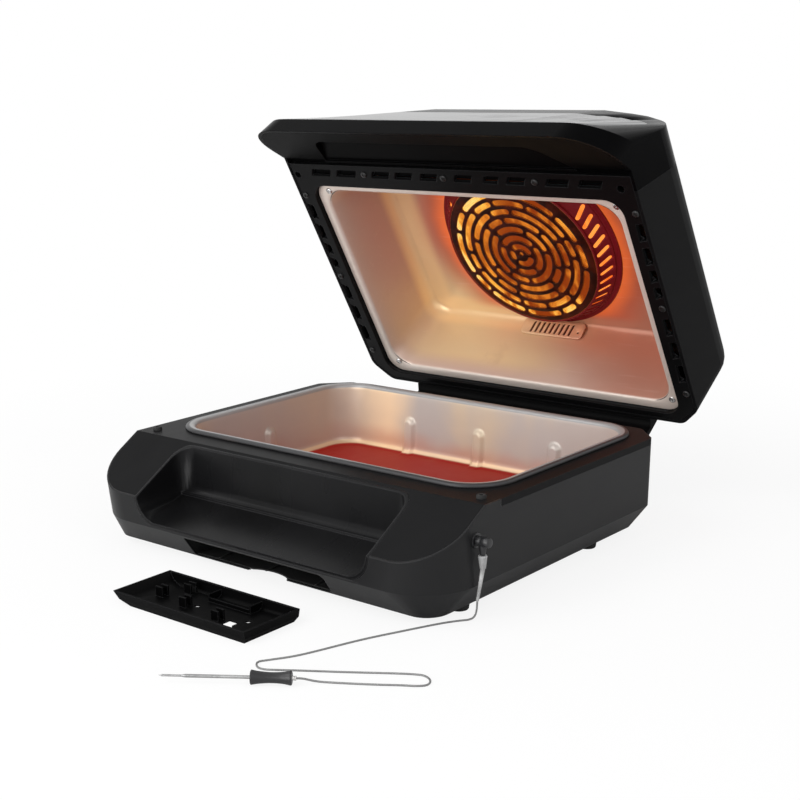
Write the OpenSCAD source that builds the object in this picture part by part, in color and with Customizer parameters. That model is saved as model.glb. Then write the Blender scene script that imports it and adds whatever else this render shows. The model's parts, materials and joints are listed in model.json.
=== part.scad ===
// Countertop grill and air fryer: a base with a lift-out pan, a hinged lid with a fan,
// a pull-out storage tray and a food probe on a cable.
// Millimetres. The origin is on the table under the middle of the base, +Y to the back,
// +Z up, and the lid stands open.

/* [Base] */
// Width of the base across its side walls
base_w = 402; // [398:1:408]
// Depth of the base from its front lip to its rear wall
base_d = 341; // [339:1:345]
// Height of the body from its underside to the deck
body_h = 84; // [83:1:88]
// Height of the rubber feet
foot_h = 6.5; // [6:0.5:8]
// Thickness of the moulded walls
wall = 3; // [2.6:0.1:3.2]
// Plan radius of the front corners
corner_r = 40; // [36:1:42]
// Leg of the chamfer on the rear corners
rear_chamfer = 25; // [20:1:28]
// Depth of the slope between the front lip and the deck
slope_run = 64; // [62:1:66]
// Fall of that slope from the deck to the lip
slope_fall = 38.4; // [36:0.2:39]
// Height of the bevel round the underside
bevel_h = 21.5; // [20:0.5:23]
// Inset of the bevel at the underside
bevel_in = 17; // [15:1:18]

/* [Hand scoop] */
// Half the width of the scoop in the front of the base
scoop_half_w = 133; // [120:1:135]
// Height of the scoop's back wall
scoop_back_h = 45; // [43:1:47]
// Depth of the scoop's floor below the deck at the lip
scoop_lip_drop = 58.5; // [57:0.5:59]

/* [Pan] */
// Width of the pan over its rim
pan_w = 368; // [360:1:370]
// Depth of the pan over its rim, front to back
pan_d = 250; // [244:1:252]
// Inside height of the pan below the deck
pan_h = 60; // [50:1:61]
// Thickness of the pan's sheet
pan_t = 1.5; // [1.2:0.1:2]

/* [Storage tray] */
// Width of the tray
tray_w = 148.5; // [140:0.5:150]
// Depth of the tray, front to back
tray_d = 61; // [58:1:62]
// Height of the tray's walls
tray_h = 10.5; // [9:0.5:11]

/* [Lid] */
// Angle to which the lid opens
lid_angle = 60.6; // [0:0.1:62]
// Height of the liner's flange above the deck when the lid is closed
lid_gap = 9.2; // [9:0.1:9.6]
// Height of the lid's upright side walls above that flange
lid_side_h = 50; // [48:1:52]
// Radius of the rounding above the side walls
lid_round = 38; // [34:1:40]
// Height of the domed top over the lid's frame
lid_top = 120.5; // [120:0.5:124]
// Radius of the rounding from the dome's flanks to its top
dome_r = 60; // [56:1:62]
// Inside height of the lid's liner
liner_h = 80; // [76:1:80]
// Radius of the fan guard's perforated face
guard_r = 85; // [80:1:86]

/* [Hidden] */
$fn = 48;
soft = 32;
e = 0.01;
fit = 0.2;

// Main levels and edges of the base
deck_z = foot_h + body_h;
crease_z = foot_h + bevel_h;
y_front = -base_d / 2;
y_rear = base_d / 2;
y_deck = y_front + slope_run;
half_w = base_w / 2;
slope = slope_fall / slope_run;
deck_t = 6.2;
crease_in = 1.8;
crease_r = 50;
low_r = 20;
deck_skin = 3;
step_y = y_deck + 20;
rebate = 1.6;

// Pan
pan_y = y_deck + 21.5 + pan_d / 2;
pan_r = 42;
rim_h = 3.4;
rim_w = 8;
pan_draft = 7;
rib_xs = [-84, 3, 92];
rib_h = 38;

// Tray: the slot in the front bevel, the bay behind it and the way between the places
slot_x0 = -76;
slot_x1 = 84;
slot_top = deck_z - 64.5;
slot_low = foot_h + 1.3;
plate_t = 1.2;
tray_home_top = slot_top - 0.7;
tray_home_x = slot_x0 + tray_w / 2 + 0.5;
tray_home_front = y_front + 1.5;
tray_out = 92.6;
tray_rest_x = tray_home_x + 18.5;
tray_rest_front = tray_home_front - tray_out;

// Lid and hinge
lid_half_w = 200;
lid_y_front = y_deck - 69;
lid_y_rear = y_deck + 272.5;
neck_y = y_rear;
lid_corner_r = 40;
flank_a = 33.3;
dome_z = lid_top - dome_r;
dome_x = lid_half_w - lid_round
    + (lid_round - dome_r - (dome_z - lid_side_h) * sin(flank_a)) / cos(flank_a);
rim_z = -5.5;
frame_z = -5.2;
rear_lean = 5.5;
lid_chamfer = 20;
hinge_y = 193.05;
hinge_z = 22;
pin_r = 4;
knuckle_r = 12;
knuckle_x0 = 108.4;
knuckle_x1 = 141.6;
grip_slope = 0.68;
grip_y = y_deck - 5;
guard_y = 25.5;
guard_z = 62;
drum_z = liner_h;
drum_r0 = guard_r + 2;
drum_r1 = 98;

module at_rest() {
    translate([0, hinge_y, hinge_z])
        rotate([-lid_angle, 0, 0])
            translate([0, -hinge_y, -hinge_z])
                translate([0, 0, deck_z + lid_gap])
                    children();
}

// Plan outline with rounded front corners and chamfered rear corners, drawn in by g
module plan(g, w, yf, yr, r, c, rc = 8) {
    ww = w - g;
    rr = max(r - g, 4);
    cc = c - 0.586 * g;
    dx = rc * 0.414;
    hull() {
        for (s = [-1, 1]) {
            translate([s * (ww - rr), yf + g + rr])
                circle(r = rr);
            translate([s * (ww - rc), yr - g - cc - dx])
                circle(r = rc, $fn = soft);
            translate([s * (ww - cc - dx), yr - g - rc])
                circle(r = rc, $fn = soft);
        }
    }
}

module base_plan(g, r = corner_r) {
    plan(g, half_w, y_front, y_rear, r + g, rear_chamfer);
}

module lid_plan(g) {
    plan(g, lid_half_w, lid_y_front, lid_y_rear, lid_corner_r, lid_chamfer, 14);
}

module slab(z, t = e) {
    translate([0, 0, z])
        linear_extrude(t)
            children();
}

// A profile drawn in Y and Z, extruded along X between x0 and x1
module along_x(x0, x1) {
    translate([x0, 0, 0])
        rotate([90, 0, 90])
            linear_extrude(x1 - x0)
                children();
}

module rounded(w, d, r) {
    hull()
        for (x = [-1, 1], y = [-1, 1])
            translate([x * (w / 2 - r), y * (d / 2 - r)])
                circle(r = r, $fn = soft);
}

// How far the drafted walls lean in at height z
function draft(z) = crease_in * (deck_z + 1 - z) / (deck_z + 1 - crease_z);

module body_form(g, low = 0) {
    hull() {
        slab(deck_z + 1)
            base_plan(g, corner_r - g);
        slab(crease_z)
            base_plan(g + crease_in, crease_r - g);
    }
    hull() {
        slab(crease_z)
            base_plan(g + crease_in, crease_r - g);
        slab(foot_h - low)
            base_plan(g + bevel_in, low_r - g);
    }
}

// Everything above the deck and the front slope, lowered by d, with the parting step
module above_top(d, step) {
    along_x(-300, 300)
        polygon([
            [y_front - 20, deck_z - slope_fall - 20 * slope - d],
            [y_deck, deck_z - d],
            [step_y, deck_z - d],
            [step_y, deck_z - step],
            [y_rear + 20, deck_z - step],
            [y_rear + 20, deck_z + 150],
            [y_front - 20, deck_z + 150]
        ]);
}

// The hollow of the hand scoop, grown by g
module scoop_void(g) {
    y_back = y_deck - 5 + g;
    z_back = deck_z - scoop_back_h - g;
    fall = (scoop_lip_drop - scoop_back_h) / (slope_run - 5);
    intersection() {
        along_x(-scoop_half_w - g, scoop_half_w + g)
            difference() {
                polygon([
                    [y_front - 12, z_back - fall * (slope_run + 7)],
                    [y_back, z_back],
                    [y_back, deck_z + 20],
                    [y_front - 12, deck_z + 20]
                ]);
                translate([y_back - 7, z_back - 2])
                    difference() {
                        square([10, 9.5]);
                        translate([0, 9.5])
                            circle(r = 7);
                    }
            }
        slab(foot_h, body_h + 20)
            translate([0, y_back - 60])
                rounded(2 * (scoop_half_w + g), 120, 15);
        translate([0, y_deck + 10, 0])
            rotate([90, 0, 0])
                linear_extrude(slope_run + 40)
                    translate([0, deck_z - scoop_lip_drop - g + 60])
                        rounded(2 * (scoop_half_w + g), 120, 24);
    }
}

module pan_opening(g) {
    translate([0, pan_y])
        rounded(pan_w - 2 * rim_w + 2 * g, pan_d - 2 * rim_w + 2 * g, pan_r - rim_w + g);
}

// Mouth of the tray slot, seen from the front
module slot_void() {
    translate([0, y_front + 30, 0])
        rotate([90, 0, 0])
            linear_extrude(50)
                hull() {
                    for (z = [slot_low, slot_top]) {
                        translate([slot_x1 - 5, z + (z > slot_low ? -5 : 5)])
                            circle(r = 5);
                        translate([slot_x0 + 1.5, z + (z > slot_low ? -1.5 : 1.5)])
                            circle(r = 1.5);
                    }
                }
}

module finger_notch() {
    translate([10, y_front + bevel_in - 2, foot_h - 1])
        linear_extrude(6)
            scale([1, 0.45])
                circle(r = 23);
}

module base_shell() {
    color([0.1, 0.1, 0.1])
        difference() {
            body_form(0);
            body_form(wall, 1);
            above_top(0, deck_t);
            intersection() {
                above_top(deck_skin, deck_t);
                body_form(rebate);
            }
            scoop_void(2.6);
            slot_void();
            finger_notch();
            translate([half_w - 8, probe_y, probe_z])
                rotate([0, 90, 0])
                    cylinder(r = 6.2, h = 20);
            on_gland()
                cylinder(r = 7.2, h = 20);
            rear_vents();
        }
}

probe_y = y_deck - 11.5;
probe_z = deck_z - 25.2;
gland_x = -162;
gland_z = 42;

// Frame of the mains gland, its Z axis into the rear wall
module on_gland() {
    translate([gland_x, y_rear - draft(gland_z) + 1.55, gland_z])
        rotate([90 - draft(0) * 0.6, 0, 0])
            children();
}

// Slots low in the rear wall that let the base breathe
module rear_vents() {
    for (i = [0 : 9])
        translate([-54 + 12 * i, y_rear - 5, 44])
            cube([6, 10, 26], center = true);
}

module top_cover() {
    color([0.13, 0.13, 0.13])
        difference() {
            union() {
                intersection() {
                    body_form(0);
                    translate([-300, step_y + fit, deck_z - deck_t])
                        cube([600, 400, deck_t]);
                }
                intersection() {
                    body_form(rebate + fit);
                    difference() {
                        above_top(deck_skin - 0.1, deck_skin - 0.1);
                        above_top(0, 0);
                        translate([-300, step_y + 2 * fit, 0])
                            cube([600, 400, 300]);
                    }
                }
            }
            slab(deck_z - 20, 40)
                pan_opening(1);
            difference() {
                slab(deck_z - 20, 20 - deck_skin)
                    base_plan(wall + 2);
                translate([0, pan_y, 0])
                    slab(deck_z - 30, 50)
                        rounded(pan_w - 2, pan_d - 2, pan_r);
                translate([-300, y_front - 50, 0])
                    cube([600, slope_run + 70.4, 300]);
            }
            scoop_void(2.6);
        }
}

module scoop_liner() {
    color([0.22, 0.22, 0.22])
        difference() {
            intersection() {
                scoop_void(2.4);
                body_form(0);
            }
            scoop_void(0);
            above_top(0, 0);
        }
}

module bottom_plate() {
    color([0.12, 0.12, 0.12])
        difference() {
            slab(foot_h, plate_t)
                base_plan(bevel_in + wall + 0.5, low_r - wall - 0.5);
            finger_notch();
            for (x = [-1, 1], i = [0 : 9])
                translate([x * 95, -36 + 12 * i, foot_h])
                    cube([70, 5, 8], center = true);
            for (p = foot_places)
                translate([p[0], p[1], foot_h - 1])
                    cylinder(r = 3.2, h = 4);
            for (p = plate_screws)
                translate([p[0], p[1], foot_h - 1])
                    cylinder(r = 1.8, h = 4);
        }
}

foot_places = [[-173, -105], [173, -105], [-173, 83], [173, 83], [-112, 137], [112, 137]];
plate_screws = [[-120, -138], [120, -138], [-150, 112], [150, 112], [0, 140]];

module bottom_screws() {
    color([0.6, 0.6, 0.6])
        for (p = plate_screws)
            translate([p[0], p[1], foot_h - 1.4]) {
                cylinder(r = 3.2, h = 1.4);
                cylinder(r = 1.6, h = 9);
            }
}

module rubber_feet() {
    color([0.05, 0.05, 0.05])
        for (p = foot_places)
            translate([p[0], p[1], 0]) {
                cylinder(r1 = 8, r2 = 9, h = foot_h);
                cylinder(r = 3, h = foot_h + 3);
            }
}

// The bay that the tray slides into, with ramps that lift it to its place
module tray_bay() {
    x0 = slot_x0 - 1;
    x1 = slot_x1 + 1;
    y0 = y_front + 5;
    y1 = tray_home_front + tray_d + 1;
    z0 = foot_h + plate_t;
    z1 = slot_top + 0.2;
    ramp_h = tray_home_top - tray_h - z0 - 0.3;
    color([0.08, 0.08, 0.08]) {
        difference() {
            translate([x0 - 1.6, y0, z0])
                cube([x1 - x0 + 3.2, y1 - y0 + 1.6, z1 - z0 + 1.4]);
            translate([x0, y0 - 5, z0 - 1])
                cube([x1 - x0, y1 - y0 + 5, z1 - z0 + 1]);
            difference() {
                translate([x0 - 10, y0 - 5, z0 - 1])
                    cube([x1 - x0 + 20, 60, z1 - z0 + 10]);
                body_form(wall + 0.2, 1);
            }
        }
        for (x = [-52, 4, 60])
            along_x(x - 1, x + 1)
                polygon([
                    [y1 - ramp_h / 0.162, z0],
                    [y1 + 0.8, z0],
                    [y1 + 0.8, z0 + ramp_h + 0.1],
                    [y1, z0 + ramp_h]
                ]);
    }
}

module pan_solid(g, top, low) {
    w = pan_w - 2 * rim_w - 2 * g;
    d = pan_d - 2 * rim_w - 2 * g;
    r = pan_r - rim_w - g;
    translate([0, pan_y, 0])
        hull() {
            slab(deck_z + top)
                rounded(w, d, r);
            slab(deck_z - pan_h + 5 - low)
                rounded(w - pan_draft, d - pan_draft, r);
            slab(deck_z - pan_h - low)
                rounded(w - pan_draft - 8, d - pan_draft - 8, r - 4);
        }
}

// One upright rib pressed into the pan's wall, round at its top
module pan_rib() {
    translate([0, 0, deck_z - pan_h])
        intersection() {
            union() {
                cylinder(r = 5, h = rib_h - 5, $fn = 24);
                translate([0, 0, rib_h - 5])
                    sphere(r = 5, $fn = 24);
            }
            translate([-6, -6, 1])
                cube([12, 12, 50]);
        }
}

module cooking_pan() {
    color([0.75, 0.74, 0.72]) {
        difference() {
            union() {
                pan_solid(0, 0.5, pan_t);
                translate([0, pan_y, 0])
                    slab(deck_z + 0.1, rim_h - 1)
                        rounded(pan_w, pan_d, pan_r);
                translate([0, pan_y, 0])
                    slab(deck_z + rim_h - 1, 1)
                        rounded(pan_w - 2, pan_d - 2, pan_r - 1);
            }
            difference() {
                pan_solid(pan_t, rim_h + 1, 0);
                for (x = rib_xs, s = [-1, 1])
                    translate([x, pan_y + s * (pan_d / 2 - rim_w - 1), 0])
                        pan_rib();
                for (s = [-1, 1])
                    translate([s * (pan_w / 2 - rim_w - 1), pan_y, 0])
                        pan_rib();
            }
        }
    }
}

// Sheet well under the pan that holds the lower heater and turns its heat up
module pan_well() {
    gap = 3;
    low = 12.5;
    color([0.5, 0.5, 0.52])
        difference() {
            union() {
                pan_solid(-gap - 0.8, -deck_t - 0.1, low);
                translate([0, pan_y, 0])
                    slab(deck_z - deck_t - 1, 0.9)
                        rounded(pan_w - 2, pan_d - 2, pan_r);
            }
            pan_solid(-gap, 30, low - 0.8);
            for (x = [-1, 1])
                translate([x * 40, pan_y + 82, deck_z - pan_h - 14])
                    cylinder(r = 4.5, h = 6);
            translate([0, pan_y, deck_z - pan_h - 14])
                cylinder(r = 9, h = 6);
        }
}

heater_z = deck_z - pan_h - 7;
heater_r = 3.2;
loop_r = 22;

module heater_corner(x, y, a) {
    translate([x, y, heater_z])
        rotate([0, 0, a])
            rotate_extrude(angle = 90)
                translate([loop_r, 0])
                    circle(r = heater_r);
}

module heater_run(x, y, len, a) {
    translate([x, y, heater_z])
        rotate([0, 90, a])
            cylinder(r = heater_r, h = len);
}

// Tubular heater in a flat loop under the pan, its two cold ends bent down at the back
module lower_heater() {
    lx = 118;
    ly0 = pan_y - 70;
    ly1 = pan_y + 60;
    color([0.35, 0.33, 0.32])
        union() {
            heater_run(-lx, ly0 - loop_r, 2 * lx, 0);
            heater_corner(-lx, ly0, 180);
            heater_corner(lx, ly0, 270);
            heater_run(-lx - loop_r, ly0, ly1 - ly0, 90);
            heater_run(lx + loop_r, ly0, ly1 - ly0, 90);
            heater_corner(-lx, ly1, 90);
            heater_corner(lx, ly1, 0);
            heater_run(-lx, ly1 + loop_r, lx - 40, 0);
            heater_run(40, ly1 + loop_r, lx - 40, 0);
            for (s = [-1, 1])
                translate([s * 40, ly1 + loop_r, heater_z - 12])
                    cylinder(r = heater_r, h = 12);
            for (s = [-1, 1])
                translate([s * 40, ly1 + loop_r, heater_z])
                    sphere(r = heater_r);
        }
}

module heater_clips() {
    floor_z = deck_z - pan_h - 11.7;
    color([0.6, 0.6, 0.62])
        for (s = [-1, 1])
            translate([s * 140, pan_y, floor_z]) {
                difference() {
                    translate([-7, -5, 0])
                        cube([14, 10, heater_z - floor_z + 1]);
                    translate([0, 6, heater_z - floor_z])
                        rotate([90, 0, 0])
                            cylinder(r = heater_r + 0.1, h = 12);
                }
            }
}

module pan_thermostat() {
    base_z = deck_z - pan_h - 16;
    color([0.7, 0.7, 0.7])
        translate([0, pan_y, base_z]) {
            cylinder(r = 12, h = 2.5);
            cylinder(r = 7, h = 14.2);
        }
}

module power_board() {
    x = -half_w + wall;
    color([0.1, 0.35, 0.15]) {
        translate([x + 5, -50, 36])
            cube([1.6, 110, 38]);
        for (y = [-44, 54], z = [41, 69])
            translate([x + draft(z) + 0.1, y, z])
                rotate([0, 90, 0])
                    cylinder(r = 2.4, h = 5 - draft(z));
        for (y = [-30, -6, 30])
            translate([x + 6.5, y, 46])
                cube([5, 14, 16]);
    }
}

module deck_bumpers() {
    color([0.3, 0.3, 0.3])
        for (s = [-1, 1])
            translate([s * 187, y_deck + 13, deck_z])
                difference() {
                    cylinder(r1 = 4.2, r2 = 3.6, h = 3);
                    translate([0, 0, 1.6])
                        cylinder(r = 1.7, h = 3);
                }
}

module probe_socket() {
    color([0.15, 0.15, 0.15])
        translate([half_w - draft(probe_z) - 14, probe_y, probe_z])
            rotate([0, 90, 0])
                difference() {
                    union() {
                        cylinder(r = 6, h = 14.6);
                        translate([0, 0, 14 - wall - 2.3])
                            cylinder(r = 8, h = 2);
                    }
                    translate([0, 0, 2])
                        cylinder(r = 2.6, h = 20);
                }
}

module mains_gland() {
    color([0.06, 0.06, 0.06])
        on_gland()
            difference() {
                union() {
                    cylinder(r = 10, h = 1.5);
                    cylinder(r = 7, h = 10);
                }
                translate([0, 0, -1])
                    cylinder(r = 3.8, h = 20);
            }
}

// Bracket with two ears that carry one hinge pin, s is the side
module hinge_bracket(s) {
    y0 = y_rear - draft(crease_z + 1) + 0.03;
    y1 = y_rear - draft(crease_z + 14) + 0.03;
    color([0.16, 0.16, 0.17])
        difference() {
            union() {
                for (x = [104, 142])
                    along_x(s > 0 ? x : -x - 4, s > 0 ? x + 4 : -x)
                        union() {
                            polygon([
                                [y0, crease_z + 1],
                                [y1, crease_z + 14],
                                [y_rear + 8, crease_z + 14],
                                [hinge_y + 5, hinge_z + 8.66],
                                [hinge_y, hinge_z - 10]
                            ]);
                            translate([hinge_y, hinge_z])
                                circle(r = 10);
                        }
                along_x(s > 0 ? 104 : -146, s > 0 ? 146 : -104)
                    polygon([
                        [y0, crease_z + 1],
                        [y1, crease_z + 14],
                        [y1 + 3, crease_z + 14],
                        [y0 + 3, crease_z + 1]
                    ]);
            }
            translate([s * 100, hinge_y, hinge_z])
                rotate([0, s * 90, 0])
                    cylinder(r = pin_r, h = 50);
        }
}

module hinge_bracket_left() { hinge_bracket(-1); }
module hinge_bracket_right() { hinge_bracket(1); }

module hinge_pin(s) {
    color([0.7, 0.7, 0.72])
        translate([s * 101, hinge_y, hinge_z])
            rotate([0, s * 90, 0]) {
                cylinder(r = pin_r, h = 45);
                cylinder(r = 6, h = 3);
            }
}

module hinge_pin_left() { hinge_pin(-1); }
module hinge_pin_right() { hinge_pin(1); }

module hinge_washers() {
    color([0.8, 0.75, 0.6])
        for (s = [-1, 1])
            translate([s * 146, hinge_y, hinge_z])
                rotate([0, s * 90, 0])
                    difference() {
                        cylinder(r = 8, h = 1.6);
                        translate([0, 0, -1])
                            cylinder(r = pin_r + 0.05, h = 5);
                    }
}

// Storage tray, drawn where it lies in front of the base
module tray_block(g, z) {
    translate([0, 0, z])
        linear_extrude(e)
            offset(delta = -g)
                square([tray_w, tray_d], center = true);
}

module tray_clip(x, y, a) {
    translate([x, y, 0])
        rotate([0, 0, a])
            for (s = [-1, 1])
                translate([-4, s * 2.9 - 0.8, 1])
                    cube([8, 1.6, 9]);
}

module storage_tray() {
    color([0.1, 0.1, 0.1])
        translate([tray_rest_x, tray_rest_front + tray_d / 2, 0])
            difference() {
                union() {
                    difference() {
                        tray_form(0);
                        tray_form(1.8);
                    }
                    intersection() {
                        tray_form(0.2);
                        union() {
                            tray_clip(-52, 2, 0);
                            tray_clip(-38, 20, 0);
                            tray_clip(-19, -3, 0);
                            tray_clip(23, -8, 0);
                            translate([-12, 15, 1])
                                cube([1.4, 16, 7]);
                            translate([34, 15, 1])
                                cube([1.4, 16, 7]);
                            translate([-12, 15, 1])
                                cube([47.4, 1.4, 4]);
                        }
                    }
                }
                for (p = [[-12, 3], [45, 3]])
                    translate([p[0], p[1], -1])
                        cylinder(r = 2.6, h = 6);
                translate([38, -17, -1])
                    cylinder(r = 7, h = 6);
            }
}

// Boat-like form of the tray: upright back, leaning front and a long curve at its left end
module tray_form(g) {
    floor_z = g > 0 ? 1.6 : 0;
    top_z = g > 0 ? tray_h + 1 : tray_h;
    x0 = -tray_w / 2 + g;
    x1 = tray_w / 2 - g;
    y0 = -tray_d / 2 + g;
    y1 = tray_d / 2 - g;
    hull() {
        translate([x0, y0, top_z - e])
            cube([x1 - x0, y1 - y0, e]);
        translate([x0 + 5, y0 + 1.6, 4])
            cube([x1 - x0 - 6, y1 - y0 - 2, e]);
        translate([x0 + 17, y0 + 3, floor_z])
            cube([x1 - x0 - 20, y1 - y0 - 7, e]);
    }
}

// Lid, drawn closed with z = 0 at its frame and turned open by at_rest

module under_lid(d) {
    edge = grip_y + rim_z / grip_slope;
    along_x(-300, 300)
        polygon([
            [lid_y_front - 30, -150],
            [lid_y_front - 30, grip_slope * (lid_y_front - 30 - grip_y) + d],
            [edge, rim_z + d],
            [lid_y_rear + 30, rim_z + d],
            [lid_y_rear + 30, -150]
        ]);
}

// Level slice of the lid behind its slanted front, at height z and drawn in by g
module lid_slice(z, g) {
    w = lid_half_w - g;
    yf = front_y(z) + 4;
    yr = lid_y_rear - rear_lean * min(1, (z - rim_z) / (lid_side_h - rim_z)) - g;
    c = lid_chamfer - 0.586 * g;
    rc = max(3, 14 - 0.3 * g);
    slab(z)
        hull() {
            translate([-w, yf])
                square([2 * w, 1]);
            for (s = [-1, 1]) {
                translate([s * (w - rc), yr - c - rc * 0.414])
                    circle(r = rc, $fn = soft);
                translate([s * (w - c - rc * 0.414), yr - rc])
                    circle(r = rc, $fn = soft);
            }
        }
}

// Where the slanted front meets the side walls, at height z
function front_y(z) = y_deck - 36.1 + 0.373 * z;

// Depth of the flat slanted front itself at height z
function face_y(z) = lid_y_front + (z + 22) / tan(front_tilt);

// Height of the dome's outline at x from the middle, drawn in by g
function dome(x, g) =
    let (
        low_r = lid_round - g,
        top_r = dome_r - g,
        low_x = lid_half_w - lid_round,
        x1 = low_x + low_r * cos(flank_a),
        z1 = lid_side_h + low_r * sin(flank_a),
        x2 = dome_x + top_r * cos(flank_a),
        z2 = dome_z + top_r * sin(flank_a)
    )
    x <= dome_x ? dome_z + top_r
        : x < x2 ? dome_z + sqrt(pow(top_r, 2) - pow(x - dome_x, 2))
        : x < x1 ? z1 + (x1 - x) * (z2 - z1) / (x1 - x2)
        : lid_side_h + sqrt(max(0, pow(low_r, 2) - pow(x - low_x, 2)));

// One upright section across the front of the lid, drawn in by g, either at x on the flat part
// or at the turn a of its corner: lower ridge, upper ridge, top edge and two points behind the seam
function front_section(s, flat_x, a, g) =
    let (
        x = flat_x > 0 ? flat_x : lid_half_w - lid_corner_r + (lid_corner_r - g) * sin(a),
        y = lid_y_front + g + (lid_corner_r - g) * (1 - cos(a)),
        z = dome(x, g),
        t = max(0, min(1, (x - 100) / 60)),
        sweep = 4.5 * max(0, min(1, (195 - x) / 20)),
        yt = face_y(z) * (1 - t) + (front_y(z) + sweep) * t + 1.1 * g,
        back = y_deck + 45 + (g > 0 ? 20 : 0)
    ) [
        [s * x, y, grip_slope * (y - grip_y) - 2 * g - 1],
        [s * x, y, -22 + 0.8 * (y - lid_y_front) - 1.04 * g],
        [s * x, yt, z],
        [s * x, back, z],
        [s * x, back, rim_z - 2 * g - 6]
    ];

module lid_front(g) {
    n = 12;
    flats = [100, dome_x, dome_x + 17];
    turns = [for (i = [0 : n]) 90 * i / n];
    rows = concat(
        [for (i = [n : -1 : 0]) front_section(-1, 0, turns[i], g)],
        [for (i = [2 : -1 : 0]) front_section(-1, flats[i], 0, g)],
        [for (i = [0 : 2]) front_section(1, flats[i], 0, g)],
        [for (i = [0 : n]) front_section(1, 0, turns[i], g)]
    );
    m = len(rows);
    walls = [for (i = [0 : m - 2], k = [0 : 4]) for (t = [0, 1])
        t == 0 ? [i * 5 + k, i * 5 + (k + 1) % 5, (i + 1) * 5 + (k + 1) % 5]
            : [i * 5 + k, (i + 1) * 5 + (k + 1) % 5, (i + 1) * 5 + k]];
    ends = [[4, 3, 2, 1, 0], [for (k = [0 : 4]) (m - 1) * 5 + k]];
    polyhedron([for (r = rows) each r], concat(walls, ends), convexity = 6);
}

// Solid form of the lid behind its front, drawn in by g on all its faces
module lid_body(g) {
    low_r = lid_round - g;
    top_r = dome_r - g;
    hull() {
        lid_slice(rim_z - 2 * g, g);
        for (k = [0 : 3])
            lid_slice(lid_side_h + low_r * sin(flank_a * k / 3),
                lid_round - low_r * cos(flank_a * k / 3));
        for (k = [0 : 4])
            lid_slice(dome_z + top_r * sin(flank_a + (90 - flank_a) * k / 4) - e,
                lid_half_w - dome_x - top_r * cos(flank_a + (90 - flank_a) * k / 4));
    }
}

// Part of space behind the seam between the front cap and the cover
module behind_seam(d) {
    along_x(-300, 300)
        polygon([
            [y_deck + 9 - 15 + d, -60],
            [y_deck + 9 + 50 + d, 200],
            [lid_y_rear + 60, 200],
            [lid_y_rear + 60, -60]
        ]);
}

module lid_cover() {
    color([0.11, 0.11, 0.11])
        at_rest()
            intersection() {
                difference() {
                    lid_body(0);
                    lid_body(wall);
                    under_lid(0);
                    lid_vents();
                }
                behind_seam(0.15);
            }
}

// Air outlets in the rear wall of the lid
module lid_vents() {
    for (i = [0 : 13])
        translate([-97.5 + 15 * i, lid_y_rear - 6, 46])
            rotate([-6, 0, 0])
                cube([8, 30, 26], center = true);
}

module lid_front_cap() {
    color([0.04, 0.04, 0.045])
        at_rest()
            difference() {
                lid_front(0);
                lid_front(wall);
                under_lid(0);
                behind_seam(0);
                panel_seat(0.15, 1.2);
            }
}

// Frame with its X axis along the slanted front and its Z axis out of it
front_tilt = 62.2;

module on_front() {
    translate([0, lid_y_front, -22])
        rotate([front_tilt, 0, 0])
            children();
}

// Outer layer of the slanted front, t thick
module panel_slab(t) {
    difference() {
        intersection() {
            lid_front(0);
            panel_prism(0, -30);
        }
        sunk_front(t);
    }
}

// Room for that layer in the cap, its edge moved out by g
module panel_seat(g, t) {
    difference() {
        panel_prism(g, -30);
        sunk_front(t);
    }
}

module panel_prism(g, low) {
    on_front()
        translate([0, 60, low])
            linear_extrude(30 - low)
                rounded(366 + 2 * g, 109 + 2 * g, 26);
}

module sunk_front(t) {
    translate([0, t * sin(front_tilt), -t * cos(front_tilt)])
        lid_front(0);
}

// Touch panel let into the slanted front
module control_panel() {
    color([0.02, 0.02, 0.025])
        at_rest()
            panel_slab(1.1);
}

module control_board() {
    color([0.1, 0.35, 0.15])
        at_rest()
            on_front()
                translate([0, 62, -9]) {
                    translate([-102, -30, 0])
                        cube([204, 60, 1.6]);
                    for (x = [-96, 96], y = [-24, 24])
                        translate([x, y, 1.6])
                            cylinder(r = 2.4, h = 4.4);
                    for (x = [-60, 0, 60])
                        translate([x - 9, -9, -4])
                            cube([18, 18, 4]);
                }
}

// Sloping underside of the lid's front with the finger pocket
module lid_grip() {
    edge = grip_y + rim_z / grip_slope;
    low = lid_y_front - 10;
    color([0.12, 0.12, 0.12])
        at_rest()
            difference() {
                union() {
                    intersection() {
                        slab(-60, 100)
                            lid_plan(wall + fit);
                        along_x(-300, 300)
                            polygon([
                                [low, grip_slope * (low - grip_y)],
                                [edge, rim_z],
                                [edge + 2, rim_z + 4.3],
                                [frame_y0 + 12, rim_z + 4.3],
                                [frame_y0 + 12, rim_z + 6.3],
                                [edge - 1, rim_z + 6.3],
                                [low, grip_slope * (low - grip_y) + 3]
                            ]);
                    }
                    difference() {
                        grip_pocket(2);
                        under_lid(0);
                    }
                }
                grip_pocket(0);
                for (p = frame_screw_places)
                    translate([p[0], p[1], frame_z])
                        cylinder(r = 1.6, h = 12);
            }
}

// Hollow for the fingers, open towards the frame and grown by g
module grip_pocket(g) {
    y0 = y_deck - 49.5 - g;
    edge = grip_y + rim_z / grip_slope;
    intersection() {
        slab(-60, 100)
            hull() {
                for (s = [-1, 1])
                    translate([s * 112, y0 + 20 + g])
                        circle(r = 20 + g);
                translate([-144 - g, edge + 2 * g])
                    square([288 + 2 * g, 1]);
            }
        along_x(-300, 300)
            polygon([
                [y0 - 1, -60],
                [y0 - 1, -20 + g],
                [y0 + 6, -16.5 + g],
                [edge + 1 + g, -3.2 + g],
                [edge + 1 + g, -60]
            ]);
    }
}

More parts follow.
